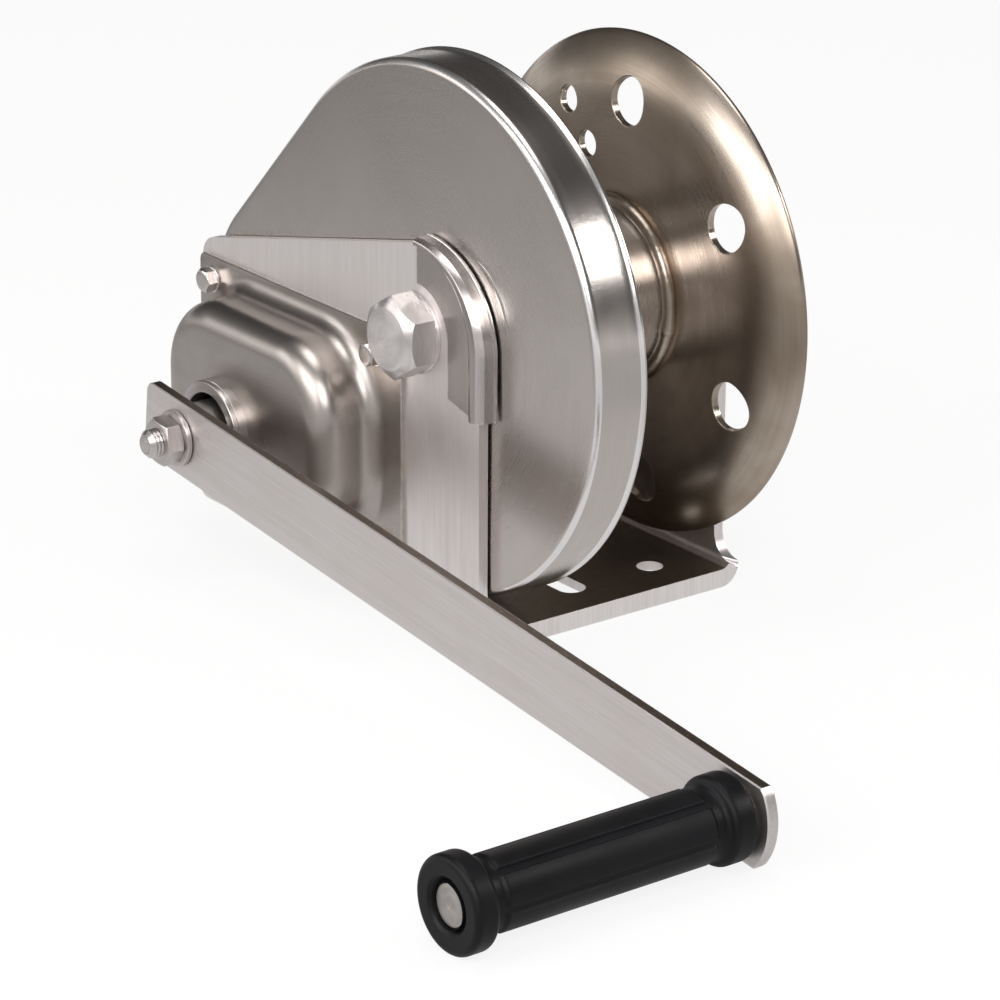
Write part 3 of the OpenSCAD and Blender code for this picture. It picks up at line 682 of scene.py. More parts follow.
@dataclass(frozen=True)
class Steel:
    """Finish of a bare metal surface.

    Attributes:
        name: material name.
        colour: colour of the worked surface, linear.
        shade: colour of its duller patches.
        edge: colour of worn edges, bright enough to be partly a painted highlight along them.
        grain: how it was worked.
        centre: axis (y, z) of the rings, in millimetres from the drum axis.
        rough: lowest and highest roughness.
        lines: strength of the lines in the colour.
        bump: height of the lines, in millimetres.
        scale: fineness of the lines.
        smudge: strength of the cloudy patches.
        anisotropy: how far highlights are drawn out across the lines.
        painted_light_tone: painted shade or painted highlight on the faces that look along
            painted_light_way, if any; it stands in for how the light falls on them.
        painted_light_way: direction of those faces.
        painted_light_band: how squarely they look that way: the painted tone comes in between the first
            two numbers and goes between the last two.
        painted_light_below: highest row z of those faces, in millimetres.
    """

    name: str
    colour: Colour
    shade: Colour
    # Worn edges: partly wear, partly a painted highlight along them
    edge: Colour = (0.86, 0.85, 0.83)
    grain: Grain = Grain.SWIRL
    centre: tuple[float, float] = (0.0, 0.0)
    rough: tuple[float, float] = (0.22, 0.38)
    lines: float = 0.3
    bump: float = 0.01
    scale: float = 1.0
    smudge: float = 0.5
    anisotropy: float = 0.0
    # Painted shade or painted highlight on the faces that look one way
    painted_light_tone: Colour | None = None
    painted_light_way: Colour = (0.0, 0.0, 1.0)
    painted_light_band: tuple[float, float, float, float] = (0.80, 0.96, 2.0, 2.1)
    painted_light_below: float = 1e4

    def axis(self) -> Colour:
        """A point of the rings' axis, in metres in the row frame."""
        return (0.0, (self.centre[0] + LAY.drum_y) * MM, (self.centre[1] + LAY.drum_z) * MM)

    def pattern(self, s: Sheet, spot: bpy.types.NodeSocket) -> tuple:
        """Lines of the working.

        Args:
            s: the material's nodes.
            spot: Object coordinates.

        Returns:
            Sockets of the lines, 0 to 1, and of their height.
        """
        if self.grain is Grain.SWIRL:
            arcs = s.group(GROUPS.swirl, spot, SWIRL_CELLS * self.scale, SWIRL_ARCS * self.scale)[0]
            return s.span(arcs, 0.38, 0.62), arcs
        if self.grain is Grain.RINGS:
            along = s.group(GROUPS.ring, spot, *self.axis()[1:])[0]
        else:
            turn = math.radians(LAY.crank_drop) if self.grain is Grain.ALONG_ARM else 0.0
            level = s.add("Mapping", {"Vector": spot, "Rotation": (-turn, 0.0, 0.0)}).outputs[0]
            along = s.add("Mapping", {"Vector": level, "Scale": STRETCH[self.grain]}).outputs[0]
        grain = s.group(GROUPS.grain, along, self.scale)
        return grain[0], grain[1]

    def painted_light_mask(self, s: Sheet, spot: bpy.types.NodeSocket) -> bpy.types.NodeSocket:
        """Faces that look along painted_light_way and lie low enough: where the shade or highlight is
        painted.

        Args:
            s: the material's nodes.
            spot: Object coordinates.

        Returns:
            Socket of the mask.
        """
        facing = s.vector("DOT_PRODUCT", s.add("TexCoord").outputs["Normal"], self.painted_light_way)
        come, go = self.painted_light_band[:2], self.painted_light_band[2:]
        mask = s.math("MULTIPLY", s.span(facing, *come), s.span(facing, *go, 1.0, 0.0))
        height = s.add("SeparateXYZ", {0: spot}).outputs[2]
        return s.math("MULTIPLY", mask, s.math("LESS_THAN", height, self.painted_light_below * MM))

    def tangent(self, s: Sheet, spot: bpy.types.NodeSocket) -> bpy.types.NodeSocket:
        """Direction across the rings: the way round the axis crossed with the normal.

        Args:
            s: the material's nodes.
            spot: Object coordinates.

        Returns:
            Socket of the direction in the world.
        """
        around = s.vector("CROSS_PRODUCT", (1.0, 0.0, 0.0), s.vector("SUBTRACT", spot, self.axis()))
        across = s.vector("CROSS_PRODUCT", around, s.add("TexCoord").outputs["Normal"])
        return s.add("VectorTransform", {0: s.vector("NORMALIZE", across)}, vector_type="VECTOR",
                     convert_from="OBJECT", convert_to="WORLD").outputs[0]

    def build(self) -> bpy.types.Material:
        """Makes the material: lines, patches, worn edges with a painted highlight, and painted shade or
        highlight on faces that look one way, all on a Principled shader.

        Returns:
            The material.
        """
        material, s = new_material(self.name)
        spot = s.add("TexCoord").outputs["Object"]
        lines, height = self.pattern(s, spot)
        patches, specks = s.group(GROUPS.smudge, spot, METAL_CLOUDS)
        worn = s.group(GROUPS.edge, spot)[0]
        tone = s.mix(s.math("MULTIPLY", patches, self.smudge), self.colour, self.shade)
        # Painted shade or painted highlight on the faces that look one way
        if self.painted_light_tone:
            tone = s.mix(self.painted_light_mask(s, spot), tone, self.painted_light_tone)
        tone = s.mix(s.math("MULTIPLY", lines, self.lines), tone,
                     s.mix(1.0, tone, LINE_SHADE, "MULTIPLY"))
        tone = s.mix(s.math("MULTIPLY", specks, 0.25), tone, self.shade)
        # Worn edges painted bright: partly wear, partly a painted highlight along the edges
        tone = s.mix(s.math("MULTIPLY", worn, 0.7), tone, self.edge)
        low, high = self.rough
        dull = s.math("ADD", s.math("MULTIPLY", patches, 0.55), s.math("MULTIPLY", lines, 0.45))
        rough = s.math("ADD", low, s.math("MULTIPLY", high - low, dull))
        rough = s.math("SUBTRACT", rough, s.math("MULTIPLY", worn, 0.08), clamp=True)
        bump = s.add("Bump", {"Strength": 1.0, "Distance": self.bump * MM, "Height": height})
        shader = s.add("BsdfPrincipled", {
            "Base Color": tone, "Metallic": 1.0, "Roughness": rough, "Normal": bump.outputs[0],
            "Anisotropic": self.anisotropy})
        if self.anisotropy > 0 and self.grain is Grain.RINGS:
            s.feed(shader.inputs["Tangent"], self.tangent(s, spot))
        s.close(shader.outputs[0])
        return material


@dataclass(frozen=True)
class Dull:
    """Finish of rubber, lining and other surfaces that aren't metal.

    Attributes:
        name: material name.
        colour: main colour, linear.
        worn: colour of edges and high places.
        rough: lowest and highest roughness.
        bump: height of the fine texture, in millimetres.
        scale: fineness of the texture.
        specular: strength of the plain reflection.
    """

    name: str
    colour: Colour
    worn: Colour
    rough: tuple[float, float] = (0.45, 0.65)
    bump: float = 0.03
    scale: float = 1500.0
    specular: float = 0.5

    def build(self) -> bpy.types.Material:
        """Makes the material: fine pores, dusty patches and paler edges.

        Returns:
            The material.
        """
        material, s = new_material(self.name)
        spot = s.add("TexCoord").outputs["Object"]
        pores = s.add("TexNoise", {"Vector": spot, "Scale": self.scale, "Detail": 3.0})
        patches = s.group(GROUPS.smudge, spot, RUBBER_CLOUDS)[0]
        worn = s.group(GROUPS.edge, spot)[0]
        tone = s.mix(s.math("MULTIPLY", patches, 0.35), self.colour, self.worn)
        tone = s.mix(s.math("MULTIPLY", worn, 0.5), tone, self.worn)
        low, high = self.rough
        rough = s.math("ADD", low, s.math("MULTIPLY", high - low, patches))
        bump = s.add("Bump", {"Strength": 1.0, "Distance": self.bump * MM, "Height": pores.outputs[0]})
        shader = s.add("BsdfPrincipled", {
            "Base Color": tone, "Metallic": 0.0, "Roughness": rough, "Normal": bump.outputs[0],
            "Specular IOR Level": self.specular})
        s.close(shader.outputs[0])
        return material


# Upward faces below 8.5 mm, the base's top, get a painted shade
PLATE = Steel("brushed plate", (0.92, 0.87, 0.855), (0.80, 0.75, 0.735), grain=Grain.ALONG_Z,
              rough=(0.36, 0.50), lines=0.20, bump=0.006, smudge=0.5,
              painted_light_tone=(0.26, 0.215, 0.165), painted_light_below=8.5)
# The rounded edge between face and wall gets a painted highlight
COVER = Steel("swirled cover", (0.60, 0.555, 0.525), (0.48, 0.44, 0.41), grain=Grain.RINGS,
              rough=(0.22, 0.30), lines=0.05, bump=0.0, scale=1.3, smudge=0.5, anisotropy=0.25,
              painted_light_tone=(0.92, 0.90, 0.89), painted_light_way=(-1.0, 0.0, 0.0),
              painted_light_band=(0.20, 0.35, 0.80, 0.93))
DOME = Steel("polished dome", (0.48, 0.44, 0.412), (0.38, 0.342, 0.315), grain=Grain.ALONG_Y,
             rough=(0.27, 0.36), lines=0.12, bump=0.0, scale=0.8, smudge=0.6)
# The strip's faces that look left get a painted shade
GUARD = Steel("bright strip", (0.70, 0.662, 0.648), (0.58, 0.542, 0.528), grain=Grain.ALONG_Z,
              rough=(0.20, 0.30), lines=0.12, bump=0.002, smudge=0.4,
              painted_light_tone=(0.46, 0.42, 0.40), painted_light_way=(-1.0, 0.0, 0.0))
# The bar's upward faces get a painted shade
ARM = Steel("brushed arm", (0.74, 0.695, 0.682), (0.66, 0.615, 0.60), grain=Grain.ALONG_ARM,
            rough=(0.36, 0.48), lines=0.20, bump=0.006, scale=0.8, smudge=0.4,
            painted_light_tone=(0.16, 0.13, 0.11))
FLANGE = Steel("polished flange", (0.58, 0.50, 0.43), (0.34, 0.272, 0.208), grain=Grain.RINGS,
               rough=(0.24, 0.36), lines=0.20, bump=0.001, scale=0.8, smudge=0.8, anisotropy=0.55)
BARREL = Steel("turned barrel", (0.80, 0.765, 0.75), (0.60, 0.56, 0.535), grain=Grain.RINGS,
               rough=(0.20, 0.32), lines=0.25, bump=0.005, scale=0.6, smudge=0.5, anisotropy=0.5)
BOLT = Steel("turned bolt", (0.86, 0.82, 0.81), (0.68, 0.645, 0.63), grain=Grain.RINGS,
             rough=(0.26, 0.36), lines=0.30, bump=0.008, scale=0.5, smudge=0.3, anisotropy=0.85)
NUT = Steel("turned nut", (0.64, 0.60, 0.585), (0.48, 0.445, 0.43), grain=Grain.RINGS,
            centre=LAY.shaft, rough=(0.26, 0.38), lines=0.30, bump=0.008, scale=0.6, smudge=0.3,
            anisotropy=0.6)
PIN = Steel("turned pin", (0.60, 0.56, 0.54), (0.44, 0.40, 0.38), grain=Grain.RINGS,
            centre=LAY.grip, rough=(0.28, 0.42), lines=0.45, bump=0.02, scale=0.45, smudge=0.4,
            anisotropy=0.6)
SCREW = Steel("small screw", (0.66, 0.62, 0.60), (0.50, 0.46, 0.44), grain=Grain.SWIRL,
              rough=(0.18, 0.30), lines=0.15, bump=0.004, smudge=0.3)
GEAR = Steel("machined gear", (0.42, 0.40, 0.39), (0.30, 0.28, 0.26), grain=Grain.RINGS,
             rough=(0.28, 0.42), lines=0.35, bump=0.015, scale=0.4, smudge=0.5)
SHAFT = Steel("machined shaft", (0.45, 0.43, 0.42), (0.32, 0.30, 0.28), grain=Grain.RINGS,
              centre=LAY.shaft, rough=(0.24, 0.38), lines=0.35, bump=0.012, scale=0.4, smudge=0.4)
# Its worn edges are painted brighter, partly as wear, partly as a painted highlight
BRONZE = Steel("bearing bronze", (0.56, 0.36, 0.15), (0.40, 0.24, 0.10), edge=(0.80, 0.60, 0.32),
               grain=Grain.RINGS, rough=(0.26, 0.42), lines=0.25, bump=0.010, scale=0.5)
LINING = Dull("brake lining", (0.14, 0.085, 0.05), (0.22, 0.15, 0.10), bump=0.06)
RUBBER = Dull("grip rubber", (0.0030, 0.0031, 0.0040), (0.008, 0.0085, 0.0105), rough=(0.42, 0.56),
              bump=0.010, scale=2200.0, specular=0.22)


class Paints:
    """Materials made once from the finishes."""

    def __init__(self) -> None:
        """Starts empty."""
        self.made: dict[str, bpy.types.Material] = {}

    def get(self, finish: Steel | Dull) -> bpy.types.Material:
        """The material of a finish.

        Args:
            finish: the finish.

        Returns:
            The material, made at its first use.
        """
        if finish.name not in self.made:
            self.made[finish.name] = finish.build()
        return self.made[finish.name]


PAINTS = Paints()


def dress(piece: bpy.types.Object, finish: Steel | Dull, body: str, slot: str,
          *stands_for: str) -> bpy.types.Object:
    """Gives a new piece its material and body, and hides the nodes that it stands for.

    Args:
        piece: the object.
        finish: its finish.
        body: name of the CAD body that it rides on.
        slot: name of a material slot; not used.
        stands_for: names of the CAD nodes that it replaces.

    Returns:
        The same object.
    """
    piece.data.materials.append(PAINTS.get(finish))
    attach(piece, body)
    if stands_for:
        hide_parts(*stands_for)
    LOG.info("%s: %d faces on %s", piece.name, len(piece.data.polygons), body)
    return piece


def dress_node(name: str, finish: Steel | Dull) -> None:
    """Gives a carried-over CAD node its material.

    Args:
        name: name of the node.
        finish: its finish.
    """
    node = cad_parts[name]
    for slot in node.material_slots:
        slot.material = PAINTS.get(finish)
    if not node.material_slots:
        node.data.materials.append(PAINTS.get(finish))
    LOG.info("%s: CAD node, %s", name, finish.name)


# Sub-assemblies
@dataclass
class FoldedFrame:
    """Side plates and base, folded from one sheet.

    Attributes:
        wall: thickness of a side plate.
        base: height of the base's top over its underside.
        bend: outer and inner radius of the bends.
        front, rear: reach of a plate's edges in front of and behind the drum axis.
        corner, corner_r: centre (y, z) and radius of the front top corner.
        fall: slope of the top edge, in degrees.
        rear_r: radius of the rear top corner.
        feet: reach of the base in front of and behind the drum axis.
        foot_h: height at which the plate's hollow edges meet the base's ends.
        slot: place x, width and length of the slots, which lie at slot_y.
        hole: place x and radius of the round holes, which lie at hole_y.
        pocket: x0, y0, x1, y1 of the hollow underneath, pocket_h high.
    """

    wall: float = 4.0
    base: float = 7.0
    bend: tuple[float, float] = (8.0, 4.0)
    front: float = 37.5
    rear: float = 138.33
    corner: tuple[float, float] = (-5.0, 1.5)
    corner_r: float = 32.5
    fall: float = 13.0
    rear_r: float = 9.0
    feet: tuple[float, float] = (47.0, 143.0)
    foot_h: float = 9.0
    slot: tuple[float, float, float] = (50.0, 11.0, 30.0)
    slot_y: tuple[float, float] = (-18.0, 114.0)
    hole: tuple[float, float] = (87.0, 5.0)
    hole_y: tuple[float, float] = (-28.0, 124.0)
    pocket: tuple[float, float, float, float] = (13.0, -40.0, 101.0, 136.0)
    pocket_h: float = 3.4

    def tops(self) -> tuple[float, float, Array]:
        """Ends of the sloped top edge, which touches the arcs of both corners.

        Returns:
            Height of its front end, height of its rear end and the rear corner's centre.
        """
        n = np.array([math.sin(math.radians(self.fall)), math.cos(math.radians(self.fall))])
        a = np.asarray(self.corner)
        y = self.rear - self.rear_r
        c = np.array([y, (n @ a + self.corner_r - self.rear_r - y * n[0]) / n[1]])
        return float(a[1] + self.corner_r * n[1]), float(c[1] + self.rear_r * n[1]), c

    def reach(self, z: Array) -> tuple[Array, Array]:
        """Front and rear edge of the outline at height z.

        From the base up: a straight foot, a hollow quarter circle, the upright edge, and in front
        the corner's arc, at the rear a small arc and the sloped line up to the corner's arc.

        Args:
            z: heights from the drum axis.

        Returns:
            The y of both edges.
        """
        h = z + LAY.drum_z
        ends = []
        for inner, outer in ((self.front, self.feet[0]), (self.rear, self.feet[1])):
            r = outer - inner
            d = np.clip(self.foot_h + r - h, 0, r)
            ends.append(outer - np.sqrt(r * r - d * d))
        high, low, c = self.tops()
        cy, cz = self.corner
        arc = np.sqrt(np.clip(self.corner_r ** 2 - (z - cz) ** 2, 0, None))
        front = np.where(z > cz, cy - arc, -ends[0])
        small = np.sqrt(np.clip(self.rear_r ** 2 - (z - c[1]) ** 2, 0, None))
        slope = math.tan(math.radians(self.fall))
        line = cy + self.corner_r * math.sin(math.radians(self.fall)) + (high - z) / slope
        rear = np.where(z > c[1], c[0] + small, ends[1])
        rear = np.where(z > low, line, rear)
        return front, np.where(z > high, cy + arc, rear)

    def wing(self) -> Array:
        """Side plate and its bend: rows run from the top to the base, columns round the sheet.

        Returns:
            Array of shape (rows, cols, 3).
        """
        bottom = -LAY.drum_z
        high, low, c = self.tops()
        t = np.radians(np.linspace(0, 90, 31))
        b0, b1 = self.bend
        z_bend = bottom + self.base + b1
        r = self.feet[0] - self.front
        foot = bottom + self.foot_h + r * (1 - np.sin(t[::3]))[:-1]
        levels = np.concatenate([
            self.corner[1] + self.corner_r * np.cos(t), [high, low],
            c[1] + self.rear_r * np.sin(t[::2]), np.linspace(c[1], foot[0], 16), foot,
            foot[-1] + 0 * t[:1], [z_bend]])
        levels = np.unique(np.round(levels[levels >= z_bend - 1e-9], 5))[::-1]
        straight = np.stack([0 * levels, levels, self.wall + 0 * levels, levels], -1)
        q = np.linspace(0, 1, 15)[1:]
        # The outer face runs straight for a while, then follows the outer bend
        run = b1 - b0 + self.base
        total = run + b0 * np.pi / 2
        arc = np.clip((q * total - run) / b0, 0, None)
        outer_z = np.where(q * total < run, z_bend - q * total, bottom + b0 - b0 * np.sin(arc))
        outer_x = b0 - b0 * np.cos(arc)
        inner = q * np.pi / 2
        bent = np.stack([outer_x, outer_z, self.wall + b1 - b1 * np.cos(inner),
                         z_bend - b1 * np.sin(inner)], -1)
        line = np.concatenate([straight, bent])
        v = np.linspace(0, 1, 13)[None, :]
        sides = []
        for x, z in ((line[:, 0], line[:, 1]), (line[:, 2], line[:, 3])):
            y0, y1 = self.reach(z)
            y = y0[:, None] + (y1 - y0)[:, None] * v
            sides.append(np.stack([x[:, None] + 0 * y, y, z[:, None] + 0 * y], -1))
        return np.concatenate([sides[0], sides[1][:, ::-1]], 1)

    def openings(self) -> list[Array]:
        """Outlines of the two slots and the two round holes: circles, pulled apart for the slots.

        Returns:
            Arrays of shape (40, 2) of x and y.
        """
        a = np.linspace(0, 2 * np.pi, 40, endpoint=False)
        turn = np.column_stack([np.cos(a), np.sin(a)])
        x, wide, long = self.slot
        stretch = np.column_stack([0 * a, np.sign(np.sin(a) + 1e-9) * (long - wide) / 2])
        loops = [turn * wide / 2 + stretch + (x, y) for y in self.slot_y]
        return loops + [turn * self.hole[1] + (self.hole[0], y) for y in self.hole_y]

    def build(self) -> bpy.types.Object:
        """Both wings, the base's faces with their holes and the hollow underneath.

        Returns:
            The piece.
        """
        left = self.wing()
        right = left * (-1, 1, 1) + (LAY.frame_w, 0, 0)
        cols = left.shape[1]
        points = [left.reshape(-1, 3), right.reshape(-1, 3)]
        faces = grid_faces(len(left), cols) + grid_faces(len(left), cols, len(points[0]))
        start = 2 * len(points[0])

        def add(part: Array, quads: list) -> None:
            """Appends a part.

            Args:
                part: its points.
                quads: its faces, numbered from its own first point.
            """
            nonlocal start
            points.append(part)
            faces.extend([[i + start for i in quad] for quad in quads])
            start += len(part)

        def flat(loops: list[Array], z: float) -> None:
            """Adds a level face with holes.

            Args:
                loops: its outline and those of its holes, as x and y.
                z: its height.
            """
            cap = tessellate_polygon([[Vector((p[0], p[1], 0.0)) for p in loop] for loop in loops])
            xy = np.concatenate(loops)
            add(np.column_stack([xy, np.full(len(xy), z)]), [list(tri) for tri in cap])

        def wall(loop: Array, z0: float, z1: float) -> None:
            """Adds an upright wall round a hole.

            Args:
                loop: the hole's outline, as x and y.
                z0: lower end.
                z1: upper end.
            """
            rows = np.concatenate([np.column_stack([loop, np.full(len(loop), z)]) for z in (z0, z1)])
            add(rows, grid_faces(2, len(loop)))

        bottom, top = -LAY.drum_z, -LAY.drum_z + self.base
        under = np.concatenate([left[-1, :cols // 2, :2], right[-1, :cols // 2, :2][::-1]])
        holes = self.openings()
        x0, y0, x1, y1 = self.pocket
        hollow = np.array([[x0, y0], [x1, y0], [x1, y1], [x0, y1]])
        flat([under, hollow], bottom)
        wall(hollow, bottom, bottom + self.pocket_h)
        flat([hollow] + holes, bottom + self.pocket_h)
        for hole in holes:
            wall(hole, bottom + self.pocket_h, top)
        flat([under] + holes, top)
        for y in (under[0, 1], under[cols // 2 - 1, 1]):
            ends = (under[0, 0], under[-1, 0])
            add(np.array([[ends[0], y, bottom], [ends[1], y, bottom], [ends[1], y, top],
                          [ends[0], y, top]]), [[0, 1, 2, 3]])
        piece = make_piece("frame_sheet", np.concatenate(points), faces, 32)
        soften(piece, 0.4)
        return dress(piece, PLATE, "frame", "plate_steel", "frame")


@dataclass
class CoverScrews:
    """The four small screws that hold the brake cover.

    Attributes:
        places: their axes (y, z).
        flats: width across flats.
        x: outer face and back of a head.
        washer_x: outer face and back of a washer.
        turn: angle of the first head and step to the next, in degrees.
    """

    places: tuple[tuple[float, float], ...] = ((23.0, -13.5), (129.83, -12.5), (23.0, -87.0),
                                               (129.83, -88.0))
    flats: float = 8.4
    x: tuple[float, float] = (-6.6, -2.2)
    washer_x: tuple[float, float] = (-2.3, -1.4)
    turn: tuple[float, float] = (14.0, 21.0)

    def build(self) -> bpy.types.Object:
        """Hexagonal heads, each on a thin washer and turned its own way.

        Returns:
            The piece.
        """
        grids = []
        for k, spot in enumerate(self.places):
            turn = self.turn[0] + self.turn[1] * k
            grids.append(hexagon(self.flats, *self.x, spot, turn, 3.5, 30))
            grids.append(turned(washer_profile(*self.washer_x, 2.0, 5.2, 0.3), spot, 48))
        piece = soften(join_grids("cover_screw_set", grids, 28), 0.25)
        return dress(piece, SCREW, "frame", "bolt_steel", "cover_screws")


@dataclass
class GearCover:
    """Drawn shell over the gears, with its face at the left plate.

    Attributes:
        x: place of the face.
        depth: depth of the shell.
        radius: radius round the drum gear.
        sheet: thickness.
        edge_r: radius between face and wall.
        tail_r: radius of the two corners behind, centred on tail_1 and tail_2.
        tail_angle: angle at which the upper straight side leaves the arcs, in degrees.
        hole_r: radius of the hole for the drum bolt.
        rib: centre y and z, radius and half width of the rib beside the corner guard.
    """

    x: float = 4.8
    depth: float = 21.2
    radius: float = 98.5
    sheet: float = 1.5
    edge_r: float = 3.0
    tail_r: float = 47.5
    tail_1: tuple[float, float] = (90.834, -20.0)
    tail_2: tuple[float, float] = (90.834, -51.0)
    tail_angle: float = 44.3
    hole_r: float = 10.1
    rib: tuple[float, float, float, float] = (-18.0, 5.8, 29.8, 1.6)

    def outline(self) -> tuple[Array, Array]:
        """Outline and its outward normals: three arcs and the straight lines between them.

        Returns:
            Points and unit normals, each of shape (n, 2), counterclockwise.
        """
        t = math.radians(self.tail_angle)
        arcs = [((0.0, 0.0), self.radius, t, 1.5 * np.pi, 300),
                (self.tail_2, self.tail_r, -0.5 * np.pi, 0.0, 48),
                (self.tail_1, self.tail_r, 0.0, t, 30)]
        points, normals = [], []
        for centre, radius, start, stop, count in arcs:
            a = np.linspace(start, stop, count)
            n = np.column_stack([np.cos(a), np.sin(a)])
            points.append(np.asarray(centre) + radius * n)
            normals.append(n)
        p, n = np.concatenate(points), np.concatenate(normals)
        loop_p, loop_n = np.vstack([p, p[:1]]), np.vstack([n, n[:1]])
        length = np.linalg.norm(np.diff(loop_p, axis=0), axis=1)
        s = np.concatenate([[0], np.cumsum(length)])
        even = np.linspace(0, s[-1], 440, endpoint=False)
        q = np.column_stack([np.interp(even, s, loop_p[:, k]) for k in (0, 1)])
        m = np.column_stack([np.interp(even, s, loop_n[:, k]) for k in (0, 1)])
        return q, m / np.linalg.norm(m, axis=1)[:, None]

    def build(self) -> bpy.types.Object:
        """Shell as a function of the outline and a section from the face over the edge to the lip.

        The section gives an inward distance o and a place x: the point is outline - o * normal. On
        the face the rings shrink towards the bolt hole, and the face and the wall are a little wavy.

        Returns:
            The piece.
        """
        p, n = self.outline()
        a = np.arctan2(p[:, 1], p[:, 0])
        f, t = self.edge_r, self.sheet
        q = np.radians(np.linspace(0, 90, 12))
        outer = np.concatenate([
            np.column_stack([f - f * np.sin(q), f - f * np.cos(q)]),
            [[0.0, 8.0], [0.0, 12.0], [0.0, 16.0], [0.0, self.depth - 2.6]],
            [[-0.25, self.depth - 1.7], [-0.75, self.depth - 1.05], [-1.0, self.depth - 0.6],
             [-0.95, self.depth - 0.12], [-0.55, self.depth]]])
        inner = np.concatenate([
            [[0.9, self.depth], [t, self.depth - 0.7], [t, self.depth - 4.0], [t, 10.0]],
            np.column_stack([f - (f - t) * np.sin(q), f - (f - t) * np.cos(q)])[::-1]])
        wave = 0.09 * np.sin(7 * a + 0.6) + 0.06 * np.sin(13 * a + 2.0) + 0.03 * np.sin(29 * a)
        rings = []
        for o, x in outer:
            hold = smooth_step((x - 2.0) / 6.0) * smooth_step((self.depth - x) / 3.0)
            rings.append(np.column_stack([np.full(len(p), self.x + x),
                                          p - (o + wave * hold)[:, None] * n]))
        edge_ring = rings[0][:, 1:]
        bolt = self.hole_r * np.column_stack([np.cos(a), np.sin(a)])
        shrink = np.linspace(1, 0, 26)[:, None, None] ** 1.15
        face = bolt + (edge_ring - bolt) * shrink
        r = np.linalg.norm(face, axis=-1)
        sag = 0.10 * np.sin(face[..., 0] / 21.0 + 0.4) * np.sin(face[..., 1] / 17.0) \
            * smooth_step((1 - shrink[..., 0]) * 6) * smooth_step(r / 30 - 0.5)
        front = np.concatenate([(self.x + sag)[..., None], face], -1)[1:][::-1]
        back_edge = p - f * n
        back = bolt + (back_edge - bolt) * np.linspace(1, 0, 6)[:, None, None]
        back = np.concatenate([np.full(back.shape[:2] + (1,), self.x + t), back], -1)[1:]
        inside = [np.column_stack([np.full(len(p), self.x + x), p - o * n]) for o, x in inner]
        surface = np.concatenate([front, np.stack(rings), np.stack(inside), back, front[:1]])
        piece = shell("gear_cover_shell", surface, 50)
        return dress(piece, COVER, "frame", "cover_steel", "gear_cover")

    def bead(self) -> bpy.types.Object:
        """Low raised rib on the face that follows the corner guard's edge.

        At place v across the arc, its height is 0.4 (1 - v^2) times a taper to both ends.

        Returns:
            The piece.
        """
        a = np.radians(np.linspace(112, 172, 60))[:, None]
        v = np.linspace(-1, 1, 13)[None, :]
        taper = np.sin(np.pi * np.linspace(0.02, 0.98, 60))[:, None] ** 0.5
        cy, cz, radius, half = self.rib
        r = radius + half * v * taper
        high = 0.4 * (1 - v ** 2) * taper
        y, z = cy + r * np.cos(a), cz + r * np.sin(a)
        top = np.stack([self.x - high + 0.02 + 0 * a, y, z], -1)
        bottom = np.stack([self.x + 0.3 + 0 * r, y, z], -1)[:, ::-1]
        loop = np.concatenate([top, bottom], 1)
        ends = [np.repeat(loop[k].mean(0)[None, None], loop.shape[1], 1) for k in (0, -1)]
        piece = shell("cover_rib", np.concatenate([ends[0], loop, ends[1]]), 60)
        return dress(piece, COVER, "frame", "cover_steel")


